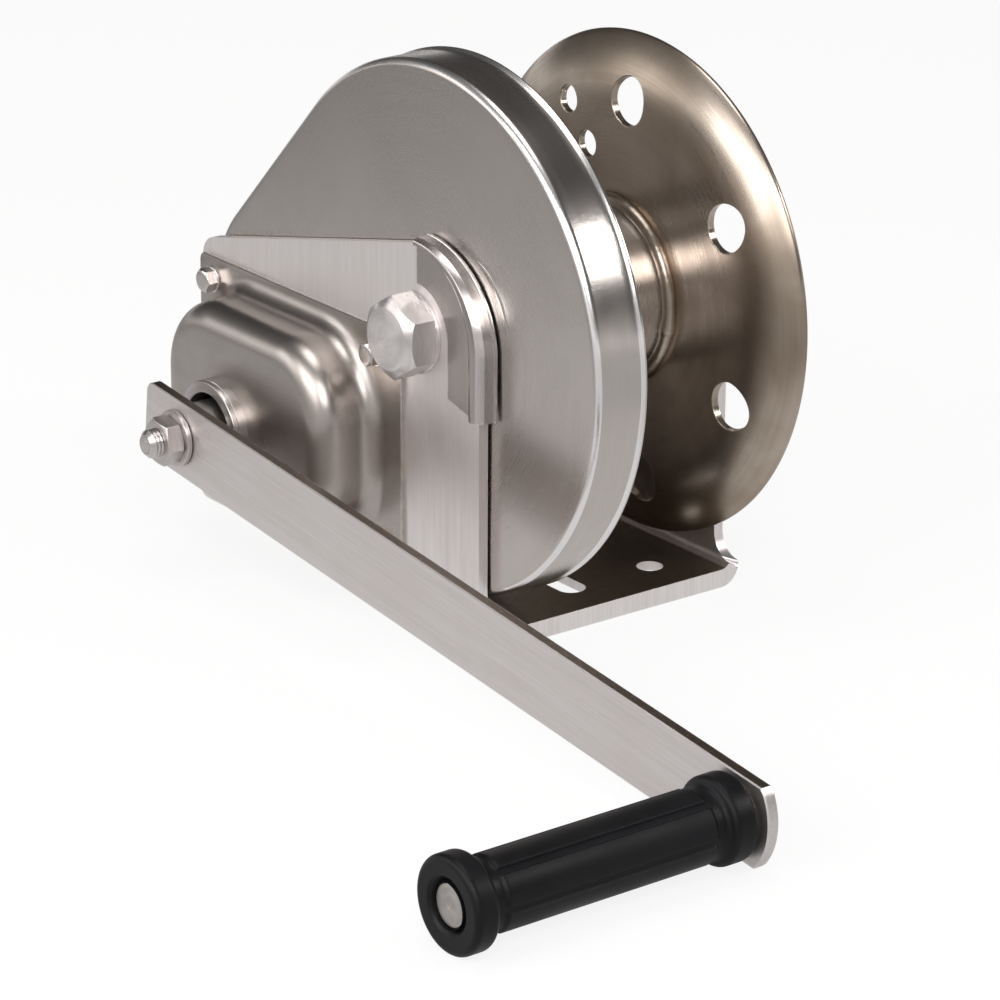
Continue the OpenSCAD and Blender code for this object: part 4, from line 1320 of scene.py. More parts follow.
@dataclass
class BrakeCover:
    """Deep-drawn cover over the brake, with a flat rim and a ring round the shaft.

    Attributes:
        height: height of the face over the left plate.
        sheet: thickness.
        edge_r: radius between face and wall.
        foot_r: radius between wall and rim.
        face: lowest y and z, highest y and z of the flat face, with corners of corner_r.
        rim: the same for the rim, with corners of rim_corner.
        ring_r, bore_r, ring_h: radius, bore and height of the ring.
        bolt_clear: radius round the drum bolt that the rim keeps clear of.
    """

    height: float = 25.5
    sheet: float = 1.5
    edge_r: float = 10.0
    foot_r: float = 7.0
    face: tuple[float, float, float, float] = (34.33, -79.0, 120.33, -21.5)
    corner_r: float = 20.0
    rim: tuple[float, float, float, float] = (7.5, -97.0, 138.33, -3.5)
    rim_corner: float = 3.0
    ring_r: float = 19.0
    bore_r: float = 14.5
    ring_h: float = 5.7
    bolt_clear: float = 15.0

    def loop(self, box: tuple[float, float, float, float], corner: float) -> Array:
        """Rounded rectangle with the same share of points on every side and corner.

        Args:
            box: lowest y and z, highest y and z.
            corner: corner radius.

        Returns:
            Array of shape (n, 2), counterclockwise from the right side's lower end.
        """
        y0, z0, y1, z1 = box
        centres = [(y1 - corner, z1 - corner), (y0 + corner, z1 - corner),
                   (y0 + corner, z0 + corner), (y1 - corner, z0 + corner)]
        parts = []
        for k, centre in enumerate(centres):
            a = np.radians(np.linspace(90 * k, 90 * k + 90, 25))
            arc = np.asarray(centre) + corner * np.column_stack([np.cos(a), np.sin(a)])
            after = centres[(k + 1) % 4]
            end = np.radians(90 * k + 90)
            stop = np.asarray(after) + corner * np.array([np.cos(end), np.sin(end)])
            side = arc[-1] + (stop - arc[-1]) * np.linspace(0, 1, 38)[1:-1, None]
            parts += [arc, side]
        return np.concatenate(parts)

    def grown(self, by: float) -> Array:
        """The face's outline moved outwards."""
        y0, z0, y1, z1 = self.face
        return self.loop((y0 - by, z0 - by, y1 + by, z1 + by), self.corner_r + by)

    def build(self) -> list[bpy.types.Object]:
        """Shell as a function of the outline and a section: rim, foot arc, wall, edge arc and face.

        The wall stands f + g outside the face's outline, with f the edge radius and g the foot radius.

        Returns:
            The shell and its ring.
        """
        f, g, t, h = self.edge_r, self.foot_r, self.sheet, self.height
        bore = np.asarray(LAY.shaft)
        q = np.radians(np.linspace(0, 90, 14))

        def level(loop: Array, x: float) -> Array:
            """The loop at a place along x."""
            return np.column_stack([np.full(len(loop), x), loop])

        def rim(inset: float) -> Array:
            """The rim's outline, kept clear of the drum bolt's washer.

            Args:
                inset: how far it is drawn in.

            Returns:
                Array of shape (n, 2).
            """
            y0, z0, y1, z1 = self.rim
            loop = self.loop((y0 + inset, z0 + inset, y1 - inset, z1 - inset), self.rim_corner)
            r = np.linalg.norm(loop, axis=1)[:, None]
            return np.where(r < self.bolt_clear + inset, loop / r * (self.bolt_clear + inset), loop)

        outer = [level(rim(0.0), -0.02), level(rim(0.0), -t + 0.35), level(rim(0.35), -t)]
        foot = self.grown(f + g)
        outer += [level(rim(0.35) * (1 - k) + foot * k, -t) for k in (0.35, 0.7)]
        outer += [level(self.grown(f + g - g * math.sin(b)), -t - g + g * math.cos(b)) for b in q]
        outer += [level(self.grown(f), x) for x in np.linspace(-t - g, -h + f, 5)[1:-1]]
        outer += [level(self.grown(f * math.cos(b)), -h + f - f * math.sin(b)) for b in q]
        flat = self.grown(0.0)
        away = flat - bore
        hole = bore + self.bore_r * away / np.linalg.norm(away, axis=1)[:, None]
        for k in np.linspace(0, 1, 16)[1:]:
            ring = flat + (hole - flat) * k
            bulge = 0.25 * math.sin(math.pi * min(1.0, k * 1.2)) * (1 - k)
            outer.append(level(ring, -h - bulge))
        inner = [level(flat + (hole - flat) * k, -h + t) for k in (1.0, 0.6, 0.3, 0.0)]
        inner += [level(self.grown((f - t) * math.cos(b)), -h + f - (f - t) * math.sin(b))
                  for b in q[::-1][1:]]
        inner += [level(self.grown(f + g - (g + t) * math.sin(b)), -t - g + (g + t) * math.cos(b) - 0.02)
                  for b in q[::-1]]
        surface = np.stack(outer + inner + [outer[0]])
        cover = dress(shell("brake_cover_shell", surface, 40), DOME, "frame", "cover_steel",
                      "brake_cover")
        x1 = -h - self.ring_h
        ring = rounded([[-h + 0.4, self.bore_r - 0.3], [-h + 0.4, self.ring_r], [x1 + 2.3, self.ring_r],
                        [x1 + 2.1, self.ring_r - 0.5], [x1 + 1.7, self.ring_r - 0.5],
                        [x1 + 1.5, self.ring_r], [x1, self.ring_r - 0.2], [x1, self.bore_r],
                        [-h + 0.4, self.bore_r - 0.3]], [0, 0.1, 0.1, 0.1, 0.1, 0.5, 0.5], 4)
        collar = dress(shell("brake_cover_ring", turned(ring, LAY.shaft, 144), 30), NUT,
                       "frame", "cover_steel")
        return [cover, collar]


@dataclass
class CornerGuard:
    """Pressed strip round the left plate's front top corner.

    Attributes:
        centre: centre (y, z) of the corner.
        inner: radius of the flat strip's inner edge.
        fold: radius of the fold between strip and roll.
        roll_w: width of the roll.
        top_share: share of that width left at the top.
        roll_x: place of the roll's highest line.
        lip_x: place of the lip behind the plate's edge.
        drop: length of the straight part below the corner's centre.
        slant: slope of the strip's lower end, in degrees.
    """

    centre: tuple[float, float] = (-2.5, 1.0)
    inner: float = 18.5
    fold: float = 32.6
    roll_w: float = 7.6
    top_share: float = 0.42
    roll_x: float = -4.3
    lip_x: float = 3.9
    drop: float = 23.5
    slant: float = 14.0

    def section(self) -> tuple[Array, Array, Array]:
        """Closed section: flat strip, fold, roll over the plate's edge and lip.

        Returns:
            Inner distances along the flat strip, shares 0..1 across the roll and places x.
        """
        outer = rounded([[-1.0, -1.7], [0.0, -1.7], [0.10, -3.6], [0.34, self.roll_x],
                         [0.66, self.roll_x + 0.5], [0.93, -1.2], [0.94, 3.0], [1.05, 3.2],
                         [1.05, self.lip_x], [0.82, self.lip_x]],
                        [0.03, 0.05, 0.25, 0.5, 0.9, 0.2, 0.02, 0.04], 7)
        back = np.array([[0.80, self.lip_x], [0.76, -0.6], [0.60, -2.2], [0.36, -2.7], [0.14, -2.0],
                         [0.02, -0.02], [-1.0, -0.02]])
        line = np.concatenate([outer, back])
        strip = np.clip(-line[:, 0], 0, 1)
        return strip, np.clip(line[:, 0], 0, None), line[:, 1]

    def build(self) -> bpy.types.Object:
        """Sweeps the section down the straight front edge and round the corner.

        Below the corner a section point at radius r lies at (-r, s), and round it at r (cos a,
        sin a). The roll narrows towards the top to top_share of its width.

        Returns:
            The piece.
        """
        strip, share, x = self.section()
        r_strip = self.fold - (self.fold - self.inner) * strip
        low = -self.drop + (self.fold - r_strip) * math.tan(math.radians(self.slant))
        low = low - 0.5 * smooth_step(share * 3)
        down = low[None, :] * np.linspace(1, 0, 16)[:, None]
        a = np.radians(np.linspace(180, 90, 50))[1:, None]
        fall = np.concatenate([np.zeros(16), smooth_step(np.linspace(0, 1, 49)) ** 0.8])[:, None]
        width = self.roll_w * (1 - (1 - self.top_share) * fall)
        r = r_strip + share * width
        lowered = (x + 1.7) * (1 - 0.30 * fall) - 1.7
        x = np.where((x < -1.75) & (share > 0), lowered, x + 0 * fall)
        straight = np.stack([x[:16], -r[:16], down], -1)
        round_ = np.stack([x[16:], r[16:] * np.cos(a), r[16:] * np.sin(a)], -1)
        rows = np.concatenate([straight, round_]) + (0, *self.centre)
        n = len(strip)
        points, faces = [rows.reshape(-1, 3)], grid_faces(len(rows), n)
        for base in (0, len(rows) - 1):
            cap = tessellate_polygon([[Vector((-p[0], p[1] + p[2], 0.0)) for p in rows[base]]])
            faces += [[i + base * n for i in tri] for tri in cap]
        piece = make_piece("corner_guard_strip", np.concatenate(points), faces, 32)
        soften(piece, 0.15, 2)
        return dress(piece, GUARD, "frame", "polished_steel", "corner_guard")


@dataclass
class DrumBody:
    """Rope drum: barrel, flat left flange and dished right flange with its holes.

    Attributes:
        sheet: thickness of the flanges.
        rim_r: radius of the flanges.
        flat_r: radius at which the dished flange starts to bend.
        flare_r: radius of the bend.
        bore: bore of barrel and flanges.
        hub: radius and end of the hub on the right.
        hole_r, hole_circle: radius of the large holes and of the circle that they lie on.
        hole_angles: angle of the first hole, step in degrees and count.
        clamp: y, z and radius of the rope clamp's holes.
    """

    sheet: float = 3.0
    rim_r: float = 95.0
    flat_r: float = 70.0
    flare_r: float = 33.5
    bore: float = 13.0
    hub: tuple[float, float] = (17.0, 98.0)
    hole_r: float = 9.0
    hole_circle: float = 72.0
    hole_angles: tuple[float, float, int] = (94.25, 54.5, 6)
    clamp: tuple[tuple[float, float, float], ...] = ((17.580, 51.058, 5.0), (29.097, 65.536, 5.0))

    def dish(self, r: Array, side: float) -> tuple[Array, Array]:
        """Place and radius of the dished sheet's face over the middle sheet's radius r.

        Up to flat_r the sheet is flat; beyond it follows an arc of radius flare_r, at the angle
        arcsin((r - flat_r) / flare_r).

        Args:
            r: radius of the middle of the sheet.
            side: 1 for the face towards the rope, -1 for the outer face.

        Returns:
            x and radius.
        """
        half = side * self.sheet / 2
        f = np.arcsin(np.clip((r - self.flat_r) / self.flare_r, 0, 1))
        middle = LAY.drum_faces[1] + self.sheet / 2 + self.flare_r
        return (middle - (self.flare_r + half) * np.cos(f),
                np.minimum(r, self.flat_r) + (self.flare_r + half) * np.sin(f))

    def net(self, cols: int, end: float) -> tuple[Array, Array]:
        """Flat net of rings with round holes cut out of it.

        Args:
            cols: points round each ring.
            end: radius of the last ring.

        Returns:
            Points of shape (n, 2), y and z, and triangles.
        """
        a = np.linspace(0, 2 * np.pi, cols, endpoint=False)
        ring = np.column_stack([np.cos(a), np.sin(a)])
        radii = np.concatenate([[self.bore], np.linspace(20, self.flat_r, 13),
                                np.linspace(self.flat_r + 2, end, 12)])
        rings = (radii[:, None, None] * ring).reshape(-1, 2)
        first, step, count = self.hole_angles
        turn = np.radians(first + step * np.arange(count))
        holes = [(self.hole_circle * math.cos(t), self.hole_circle * math.sin(t), self.hole_r)
                 for t in turn] + list(self.clamp)
        b = np.linspace(0, 2 * np.pi, 56, endpoint=False)
        rounds = [np.array(h[:2]) + h[2] * np.column_stack([np.cos(b), np.sin(b)]) for h in holes]
        keep = np.ones(len(rings), bool)
        for y, z, r in holes:
            keep &= np.hypot(rings[:, 0] - y, rings[:, 1] - z) > r + 0.7
        loops = [rings[:cols], rings[-cols:]] + rounds
        links, start = [], 0
        for loop in loops:
            k = np.arange(len(loop))
            links += (np.column_stack([k, (k + 1) % len(loop)]) + start).tolist()
            start += len(loop)
        flat = np.concatenate(loops + [rings[cols:-cols][keep[cols:-cols]]])
        cut = delaunay_2d_cdt([Vector(p) for p in flat.tolist()], links, [], 0, 1e-7, False)
        spots, tris = np.array([tuple(p) for p in cut[0]]), np.array(cut[2])
        core = spots[tris].mean(1)
        good = np.hypot(core[:, 0], core[:, 1]) > self.bore
        for y, z, r in holes:
            good &= np.hypot(core[:, 0] - y, core[:, 1] - z) > r
        return spots, tris[good]

    def rim(self, cols: int, end: float) -> Array:
        """Half round that joins the edges of both faces.

        Args:
            cols: points round it.
            end: radius of the net's last ring.

        Returns:
            Array of shape (9, cols, 3).
        """
        x0, r0 = self.dish(np.array([end]), 1)
        x1, r1 = self.dish(np.array([end]), -1)
        mid, arm = np.array([x0 + x1, r0 + r1])[:, 0] / 2, np.array([x0 - x1, r0 - r1])[:, 0] / 2
        out = np.array([-arm[1], arm[0]])
        out = out if out[1] > 0 else -out
        t = np.linspace(0, np.pi, 9)[:, None]
        return turned(mid + arm * np.cos(t) + out * np.sin(t), DRUM_AXIS, cols)

    def flange(self) -> bpy.types.Object:
        """Dished flange: the flat net bent into both faces, walls in the holes and a round rim.

        Returns:
            The piece.
        """
        cols, end = 220, self.rim_r - self.sheet / 2
        spots, tris = self.net(cols, end)
        sides = np.sort(np.concatenate([tris[:, [0, 1]], tris[:, [1, 2]], tris[:, [2, 0]]]), 1)
        edges, seen = np.unique(sides, axis=0, return_counts=True)
        edges = edges[seen == 1]
        radius = np.hypot(spots[:, 0], spots[:, 1])
        edges = edges[radius[edges].min(1) < end - 0.2]
        n, way = len(spots), spots / radius[:, None]
        points = []
        for side in (1, -1):
            x, r = self.dish(radius, side)
            points.append(np.column_stack([x, way * r[:, None]]))
        points.append(self.rim(cols, end).reshape(-1, 3))
        faces = tris.tolist() + (tris + n).tolist()
        faces += np.column_stack([edges, edges[:, ::-1] + n]).tolist() + grid_faces(9, cols, 2 * n)
        piece = make_piece("drum_dish", np.concatenate(points), faces, 35)
        soften(piece, 0.35)
        return dress(piece, FLANGE, "drum", "drum_steel", "drum")

    def build(self) -> list[bpy.types.Object]:
        """Dished flange, then barrel with the left flange and the right hub.

        Returns:
            The pieces.
        """
        x1, root = LAY.drum_faces
        x0, end, b, barrel_r = x1 - self.sheet, root + 0.5, self.bore, LAY.barrel_r
        barrel = rounded([[x0, b], [x0, self.rim_r], [x1, self.rim_r], [x1, barrel_r],
                          [end, barrel_r], [end, b], [x0, b]], [1.45, 1.45, 0, 0, 0], 5)
        hub_r, hub_x = self.hub
        hub = rounded([[end + 2, b], [end + 2, hub_r], [hub_x, hub_r], [hub_x, b], [end + 2, b]],
                      [0, 0.6, 0.4], 3)
        grids = [turned(resampled(barrel, 6.0), DRUM_AXIS, 160), turned(hub)]
        spool = dress(join_grids("drum_barrel", grids, 35), BARREL, "drum", "drum_steel", "drum")
        return [self.flange(), spool]


@dataclass
class Drum:
    """Weld beads and the drum bolt with its head, washers and nut.

    Attributes:
        head_x: outer face and back of the head.
        head_flats: width across the head's flats.
        head_turn: angle of one of them, in degrees.
        bolt_r, bolt_end: radius and free end of the bolt.
        nut_flats, nut_h, nut_turn: width across flats, height and angle of the nut.
        washer_w: thickness of the washer under the nut.
        bead_r: radius of a weld bead.
        scales: overlapping scales round a bead.
    """

    head_x: tuple[float, float] = (-13.5, -1.5)
    head_flats: float = 27.5
    head_turn: float = 57.5
    bolt_r: float = 10.0
    bolt_end: float = 136.1
    nut_flats: float = 30.0
    nut_h: float = 16.0
    nut_turn: float = 38.0
    washer_w: float = 3.0
    bead_r: float = 2.55
    scales: int = 60

    def weld(self, name: str, x: float, side: float) -> bpy.types.Object:
        """Weld bead in the corner of barrel and flange: a ring of overlapping scales.

        At angle a round the barrel and b round the bead, its radius is bead_r plus ripples that run
        with scales * a / 2 pi + 0.35 cos b, slow waves and one lump where the bead was closed.

        Args:
            name: name of the piece.
            x: place of the flange's face.
            side: direction from the flange to the barrel's middle.

        Returns:
            The piece.
        """
        a = np.linspace(0, 2 * np.pi, 420, endpoint=False)[None, :]
        b = np.linspace(0, 2 * np.pi, 18, endpoint=False)[:, None]
        scale = (a * self.scales / (2 * np.pi) + 0.35 * np.cos(b - 0.8)) % 1
        lump = np.exp(-((a - 3.35) / 0.09) ** 2)
        r = self.bead_r + (0.07 + 0.35 * lump) * np.sqrt(1 - (2 * scale - 1) ** 2 * 0.9) \
            + 0.06 * np.sin(5 * a) + 0.04 * np.sin(13 * a + 1) + 0.5 * lump
        out = LAY.barrel_r + 1.5 + r * np.cos(b)
        grid = np.stack([x + side * (1.5 + r * np.sin(b)), out * np.cos(a), out * np.sin(a)], -1)
        piece = make_piece(name, np.concatenate([grid, grid[:1]]).reshape(-1, 3),
                           grid_faces(19, 420), 60)
        return dress(piece, FLANGE, "drum", "drum_steel")

    def build(self) -> list[bpy.types.Object]:
        """Beads, bolt, washers and nut.

        Returns:
            The pieces.
        """
        left, right = LAY.drum_faces
        made = [self.weld("weld_left", left, 1.0), self.weld("weld_right", right, -1.0)]
        head = hexagon(self.head_flats, *self.head_x, DRUM_AXIS, self.head_turn, 11.6, 35)
        shank = screw_thread(self.head_x[1] - 0.5, self.bolt_end, self.bolt_r, 0.7, 2.0, DRUM_AXIS,
                             self.bolt_r - 1.4)
        bolt = join_grids("drum_bolt_piece", [head, shank], 28)
        made.append(dress(soften(bolt, 0.22), BOLT, "frame", "bolt_steel", "drum_bolt"))
        w, seat = LAY.frame_w, LAY.frame_w + self.washer_w
        rings = [turned(washer_profile(self.head_x[1], -0.02, self.bolt_r, 14.8, 0.3)),
                 turned(washer_profile(w + 0.02, seat, self.bolt_r, 18.5, 0.4))]
        made.append(dress(join_grids("bolt_washer_pair", rings, 30), BOLT, "frame", "bolt_steel",
                          "bolt_washers"))
        nut = hexagon(self.nut_flats, seat + self.nut_h, seat, DRUM_AXIS, self.nut_turn, 13.9, 28,
                      True, self.bolt_r)
        made.append(dress(soften(shell("drum_nut_piece", nut, 28), 0.22), BOLT, "frame",
                          "bolt_steel", "drum_nut"))
        return made


@dataclass
class Crank:
    """Flat bar with its nut, washer and stud.

    Attributes:
        length: distance between its axes.
        width: width of the bar.
        x: outer and inner face of the bar.
        tail, nose: length beyond the shaft's and the grip's axis.
        square: side of the hole for the hub.
        pin_r: radius of the hole for the pin.
        edge: chamfer.
        nut_flats, nut_turn: width across the nut's flats and angle of one, in degrees.
        nut_x: outer face and back of the nut.
        stud_end, stud_r: free end and radius of the stud.
        washer_x, washer_r: faces and radius of the washer.
    """

    length: float = 325.0
    width: float = 29.5
    x: tuple[float, float] = (-44.5, -40.0)
    tail: float = 22.0
    nose: float = 17.0
    square: float = 16.0
    pin_r: float = 6.4
    edge: float = 0.45
    nut_flats: float = 16.4
    nut_turn: float = 40.0
    nut_x: tuple[float, float] = (-53.8, -46.8)
    stud_end: float = -59.2
    stud_r: float = 5.0
    washer_x: tuple[float, float] = (-46.8, -44.8)
    washer_r: float = 10.75

    def turn(self, flat: Array) -> Array:
        """Turns the bar's outline by the crank's slope and moves it to the shaft.

        Args:
            flat: places along and across the bar.

        Returns:
            Places (y, z) from the drum axis.
        """
        a = math.radians(LAY.crank_drop)
        y = flat[:, 0] * math.cos(a) - flat[:, 1] * math.sin(a)
        z = flat[:, 0] * math.sin(a) + flat[:, 1] * math.cos(a)
        return np.column_stack([y, z]) + LAY.shaft

    def outline(self) -> Array:
        """Bar outline: straight sides, rounded corners and a flat arc at the grip's end.

        Returns:
            Array of shape (n, 2), counterclockwise, along and across the bar.
        """
        w, far = self.width / 2, -self.length - self.nose
        radius = 0.8 * self.width
        a = math.asin((w - 1.6) / radius)
        arc = np.linspace(np.pi - a, np.pi + a, 24)
        tip = np.column_stack([far + radius + radius * np.cos(arc), radius * np.sin(arc)])
        near = rounded([[far + 25, -w], [self.tail, -w], [self.tail, w], [far + 25, w]], 4.0, 8)
        c0 = [tip[-1, 0] + 1.6, -w]
        c1 = [tip[0, 0] + 1.6, w]
        return np.concatenate([near, resampled(np.array([[far + 24, w], c1]), 3.0)[1:], tip,
                               resampled(np.array([c0, [far + 24, -w]]), 3.0)])

    def arm(self) -> bpy.types.Object:
        """The bar with a square hole for the hub and a round one for the pin."""
        s = self.square / 2 + 0.02
        square = np.array([[-s, -s], [s, -s], [s, s], [-s, s]])
        a = np.linspace(0, 2 * np.pi, 48, endpoint=False)
        pin = np.column_stack([-self.length + self.pin_r * np.cos(a), self.pin_r * np.sin(a)])
        points, faces = plate_grid(self.turn(self.outline()), [self.turn(square), self.turn(pin)],
                                   *self.x, self.edge)
        piece = make_piece("crank_bar", points, faces, 25)
        return dress(piece, ARM, "crank", "arm_steel", "crank_arm")

    def fasteners(self) -> list[bpy.types.Object]:
        """Washer, nut and the thread on the stud.

        Returns:
            The pieces.
        """
        washer = turned(washer_profile(*self.washer_x, self.stud_r, self.washer_r, 0.35), LAY.shaft)
        made = [dress(shell("crank_washer_piece", washer, 30), NUT, "drive", "bolt_steel",
                      "crank_washer")]
        nut = hexagon(self.nut_flats, *self.nut_x, LAY.shaft, self.nut_turn, 7.9, 30, True,
                      self.stud_r)
        made.append(dress(soften(shell("crank_nut_piece", nut, 28), 0.15), NUT, "drive",
                          "bolt_steel", "crank_nut"))
        stud = screw_thread(self.nut_x[1], self.stud_end - 0.25, self.stud_r + 0.38, 0.33, 1.5,
                            LAY.shaft, self.stud_r - 1.2)
        made.append(dress(shell("stud_thread", stud, 40), NUT, "drive", "gear_steel"))
        return made

    def build(self) -> list[bpy.types.Object]:
        """Bar and fasteners."""
        return [self.arm()] + self.fasteners()


@dataclass
class Grip:
    """Turning rubber grip with raised panels, and its steel pin.

    Attributes:
        x: outer and inner end of the rubber.
        outer_r, inner_r: radius of the outer and the inner flange.
        body_r: radius between the flanges.
        flange_w: width of a flange.
        panel_h: height of a panel.
        panels: number of panels.
        pin_r, pin_end: radius and outer end of the pin.
        neck: places where the pin is thinner, inside the bar.
        collar_x: end of the collar behind the bar.
    """

    x: tuple[float, float] = (-159.3, -46.3)
    outer_r: float = 16.5
    inner_r: float = 15.2
    body_r: float = 12.0
    flange_w: float = 9.0
    panel_h: float = 0.95
    panels: int = 6
    pin_r: float = 7.9
    pin_end: float = -157.8
    neck: tuple[float, float] = (-44.5, -40.0)
    collar_x: float = -38.2

    def rubber(self) -> bpy.types.Object:
        """Grip as r(x, a): a turned profile plus panel_h inside each panel's soft-edged field.

        Returns:
            The piece.
        """
        x0, x1 = self.x
        w, b = self.flange_w, self.pin_r + 0.06
        profile = rounded([[x0 + 0.3, b], [x0 + 2.0, b + 0.05], [x0 + 0.2, b + 2.2], [x0, self.outer_r],
                           [x0 + w, self.outer_r], [x0 + w + 1.0, self.body_r],
                           [x1 - w - 1.0, self.body_r], [x1 - w, self.inner_r], [x1, self.inner_r],
                           [x1, b], [x0 + 0.3, b]],
                          [0.0, 0.6, 2.2, 2.4, 2.5, 2.5, 2.2, 2.0, 0.3], 7)
        profile = resampled(profile, 0.55)
        cols = 264
        a = np.linspace(0, 2 * np.pi, cols, endpoint=False)[None, :]
        x, r = profile[:, :1], profile[:, 1:]
        step = 2 * np.pi / self.panels
        across = np.abs(((a - math.radians(8)) % step) / step - 0.45)
        field_a = 1 - smooth_step((across - 0.385) / 0.035)
        mid = (x0 + x1) / 2
        half = (x1 - x0) / 2 - w - 6.5
        field_x = 1 - smooth_step((np.abs(x - mid) - half) / 1.2)
        outside = (r > self.body_r - 0.5) & (r < self.body_r + 0.5)
        r = r + self.panel_h * field_a * field_x * outside
        grid = np.stack([x + 0 * a, LAY.grip[0] + r * np.cos(a), LAY.grip[1] + r * np.sin(a)], -1)
        piece = shell("grip_rubber_piece", grid, 50)
        return dress(piece, RUBBER, "grip", "grip_rubber", "grip")

    def pin(self) -> bpy.types.Object:
        """Pin with a turned, slightly dished end and a collar behind the bar.

        Returns:
            The piece.
        """
        r, e, end = self.pin_r, self.pin_end, self.collar_x
        n0, n1 = self.neck
        profile = rounded([[e + 0.35, 0.0], [e + 0.25, 1.0], [e, 2.0], [e, r - 0.9], [e + 0.9, r],
                           [n0, r], [n0, r - 1.52], [n1, r - 1.52], [n1, r + 1],
                           [end - 0.7, r + 1], [end, r], [end, 0.0]],
                          [0.5, 0.4, 0.3, 0.3, 0, 0, 0, 0.3, 0.3, 0.3], 4)
        piece = shell("grip_pin_piece", turned(profile, LAY.grip), 30)
        return dress(piece, PIN, "crank", "bolt_steel", "grip_pin")

    def build(self) -> list[bpy.types.Object]:
        """Rubber and pin."""
        return [self.rubber(), self.pin()]


CAD_NODES: dict[str, Steel | Dull] = {
    "drum_spacers": GEAR, "shaft_bushes": BRONZE, "pawl_pin": GEAR, "drum_gear": GEAR, "drum_bushes": BRONZE,
    "drive_shaft": SHAFT, "pressure_plate": SHAFT, "shaft_circlip": SHAFT, "ratchet_wheel": SHAFT,
    "friction_discs": LINING, "pawl": GEAR, "pawl_spring": GEAR, "crank_hub": SHAFT,
    "grip_washer": PIN}


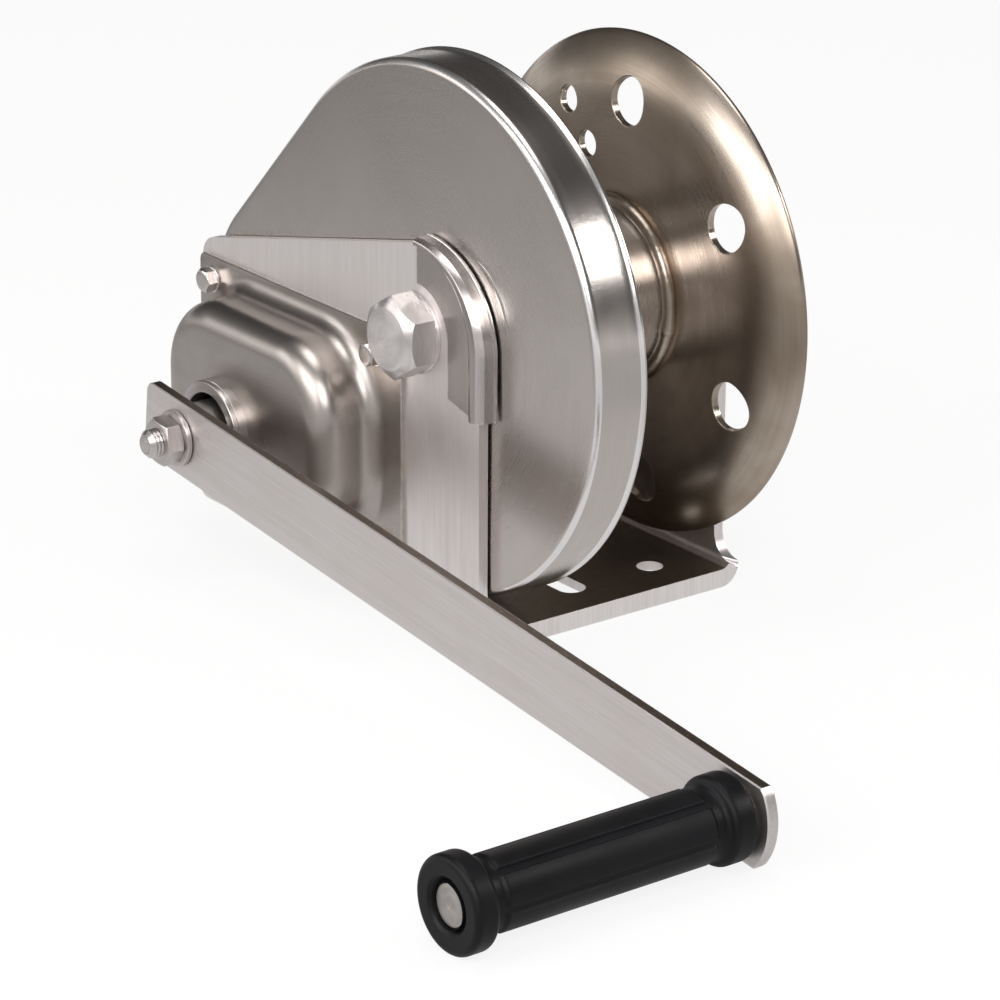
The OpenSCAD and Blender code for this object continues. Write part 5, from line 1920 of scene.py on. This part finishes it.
# Studio
@dataclass(frozen=True)
class Studio:
    """Floor, world, lamps and camera.

    Attributes:
        azimuth, elevation, roll: the camera's direction, in degrees.
        focal_px: focal length for an image 1000 wide.
        shift: how far the view's middle lies from the drum axis, right and up, in millimetres.
        distance: from the camera to the drum axis, in millimetres.
        aim: point that the lamps face, in metres.
        white_share: share of plain white in the floor as it is seen; the rest takes the shadow.
    """

    azimuth: float = -37.2726
    elevation: float = 20.4258
    roll: float = 0.2775
    focal_px: float = 4387.607
    shift: tuple[float, float] = (-29.9588, 60.0221)
    distance: float = 1572.866
    aim: Colour = (0.0, 0.0, 0.1)
    white_share: float = 0.86

    def camera(self) -> None:
        """Camera at the photograph's viewing angle.

        Its place is distance * back - shift along right and up, with back the direction from the
        object to the camera.
        """
        az, el, ro = (math.radians(v) for v in (self.azimuth, self.elevation, self.roll))
        back = Vector((math.sin(az) * math.cos(el), -math.cos(az) * math.cos(el), math.sin(el)))
        right = Vector((math.cos(az), math.sin(az), 0.0))
        up = back.cross(right)
        r2 = right * math.cos(ro) + up * math.sin(ro)
        u2 = up * math.cos(ro) - right * math.sin(ro)
        spot = back * self.distance - r2 * self.shift[0] - u2 * self.shift[1]
        data = bpy.data.cameras.new("photo camera")
        data.lens = self.focal_px * 36 / 1000
        data.sensor_width = 36
        data.clip_start, data.clip_end = 0.05, 50
        camera = bpy.data.objects.new("photo camera", data)
        turn = Matrix((r2, u2, back)).transposed().to_4x4()
        camera.matrix_world = Matrix.Translation(Vector(place(np.array(spot)))) @ turn
        bpy.context.scene.collection.objects.link(camera)
        bpy.context.scene.camera = camera

    def floor(self) -> None:
        """Wide pale floor that shows white to the camera but keeps the object's shadow."""
        r = np.array([0.0, 400.0, 1200.0, 6000.0])
        a = np.linspace(0, 2 * np.pi, 48, endpoint=False)
        low = -LAY.drum_z - 0.05
        grid = np.stack([r[:, None] * np.cos(a) - LAY.left, r[:, None] * np.sin(a) - LAY.drum_y,
                         np.full((4, 48), low)], -1)
        piece = shell("studio_floor", grid)
        material, s = new_material("pale floor")
        spot = s.add("TexCoord").outputs["Object"]
        noise = s.add("TexNoise", {"Vector": spot, "Scale": 6.0, "Detail": 3.0})
        tone = s.mix(noise.outputs[0], (0.80, 0.79, 0.78), (0.84, 0.835, 0.83))
        diffuse = s.add("BsdfDiffuse", {"Color": tone}).outputs[0]
        glow = s.add("Emission", {"Color": (1, 1, 1, 1), "Strength": 1.0}).outputs[0]
        path = s.add("LightPath").outputs
        seen = s.math("MAXIMUM", path["Is Camera Ray"], path["Is Transmission Ray"])
        # Metal sees the floor bright in front of the winch and dimmer far behind it on the left
        front = s.span(s.add("SeparateXYZ", {0: spot}).outputs[1], 0.10, -0.25, 0.0, 0.5)
        near = s.span(s.vector("LENGTH", spot), 0.75, 0.15, 0.24, 0.66)
        level = s.math("MAXIMUM", front, near)
        sheen = s.add("Emission", {"Color": (1, 1, 1, 1), "Strength": level}).outputs[0]
        mirrored = s.math("MULTIPLY", path["Is Glossy Ray"], self.white_share)
        shown = s.math("MULTIPLY", seen, self.white_share)
        inner = s.add("MixShader", {0: mirrored, 1: diffuse, 2: sheen}).outputs[0]
        s.close(s.add("MixShader", {0: shown, 1: inner, 2: glow}).outputs[0])
        piece.data.materials.append(material)

    def world(self) -> None:
        """White backdrop; reflections show its white horizon and a dim room above it."""
        world = bpy.data.worlds.new("studio")
        bpy.context.scene.world = world
        world.use_nodes = True
        world.node_tree.nodes.clear()
        s = Sheet(world.node_tree)
        path = s.add("LightPath").outputs
        x, _, z = s.add("SeparateXYZ", {0: s.add("TexCoord").outputs["Generated"]}).outputs
        # The pale floor runs to a white horizon; above it the room is dim, brighter to the left
        horizon = s.span(z, 0.02, 0.16, 1.0, 0.0)
        left = s.span(x, 0.1, -0.9, 0.05, 0.34)
        top = s.span(z, 0.80, 0.99, 0.0, 0.45)
        glossy = s.math("MAXIMUM", horizon, s.math("MAXIMUM", left, top))
        sky = s.add("CombineColor", {0: glossy, 1: s.math("MULTIPLY", glossy, 0.99),
                                     2: s.math("MULTIPLY", glossy, 0.98)}).outputs[0]
        plain = s.add("Background", {"Color": (0.80, 0.80, 0.80, 1), "Strength": 0.55}).outputs[0]
        mirror = s.add("Background", {"Color": sky, "Strength": 1.0}).outputs[0]
        bright = s.add("Background", {"Color": (1, 1, 1, 1), "Strength": 1.0}).outputs[0]
        lit = s.add("MixShader", {0: path["Is Glossy Ray"], 1: plain, 2: mirror}).outputs[0]
        seen = s.math("MAXIMUM", path["Is Camera Ray"], path["Is Transmission Ray"])
        s.close(s.add("MixShader", {0: seen, 1: lit, 2: bright}).outputs[0], "OutputWorld")

    def lamp(self, name: str, spot: Colour, size: tuple[float, float], energy: float) -> None:
        """Soft rectangular lamp that faces the winch.

        Args:
            name: its name.
            spot: place in metres.
            size: width and height in metres.
            energy: watts.
        """
        data = bpy.data.lights.new(name, "AREA")
        data.shape, data.size, data.size_y = "RECTANGLE", size[0], size[1]
        data.energy, data.color = energy, (1.0, 0.99, 0.985)
        lamp = bpy.data.objects.new(name, data)
        way = Vector(self.aim) - Vector(spot)
        turn = way.to_track_quat("-Z", "Y").to_matrix().to_4x4()
        lamp.matrix_world = Matrix.Translation(Vector(spot)) @ turn
        lamp.visible_camera = False
        bpy.context.scene.collection.objects.link(lamp)

    def build(self) -> None:
        """Sets up floor, world, lamps and camera with plain colour management."""
        self.floor()
        self.world()
        self.lamp("camera softbox", (-0.95, -1.25, 1.05), (0.75, 0.75), 12.0)
        self.lamp("right strip", (0.946, -1.08, 0.93), (0.30, 0.38), 7.0)
        self.lamp("top softbox", (-0.1, 0.0, 1.7), (0.8, 0.8), 7.0)
        self.lamp("left softbox", (-1.25, -0.15, 0.75), (1.0, 0.8), 9.0)
        self.lamp("rear fill", (-1.2, 0.9, 0.6), (0.8, 0.6), 3.0)
        self.camera()
        bpy.context.scene.view_settings.view_transform = "Standard"


def main() -> None:
    """Builds the studio and every sub-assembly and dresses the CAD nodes."""
    logging.basicConfig(level=logging.INFO, format="%(message)s")
    Studio().build()
    FoldedFrame().build()
    CoverScrews().build()
    DrumBody().build()
    cover = GearCover()
    cover.build()
    cover.bead()
    BrakeCover().build()
    CornerGuard().build()
    Drum().build()
    Crank().build()
    Grip().build()
    for name, finish in CAD_NODES.items():
        dress_node(name, finish)


if __name__ == "__main__":
    main()
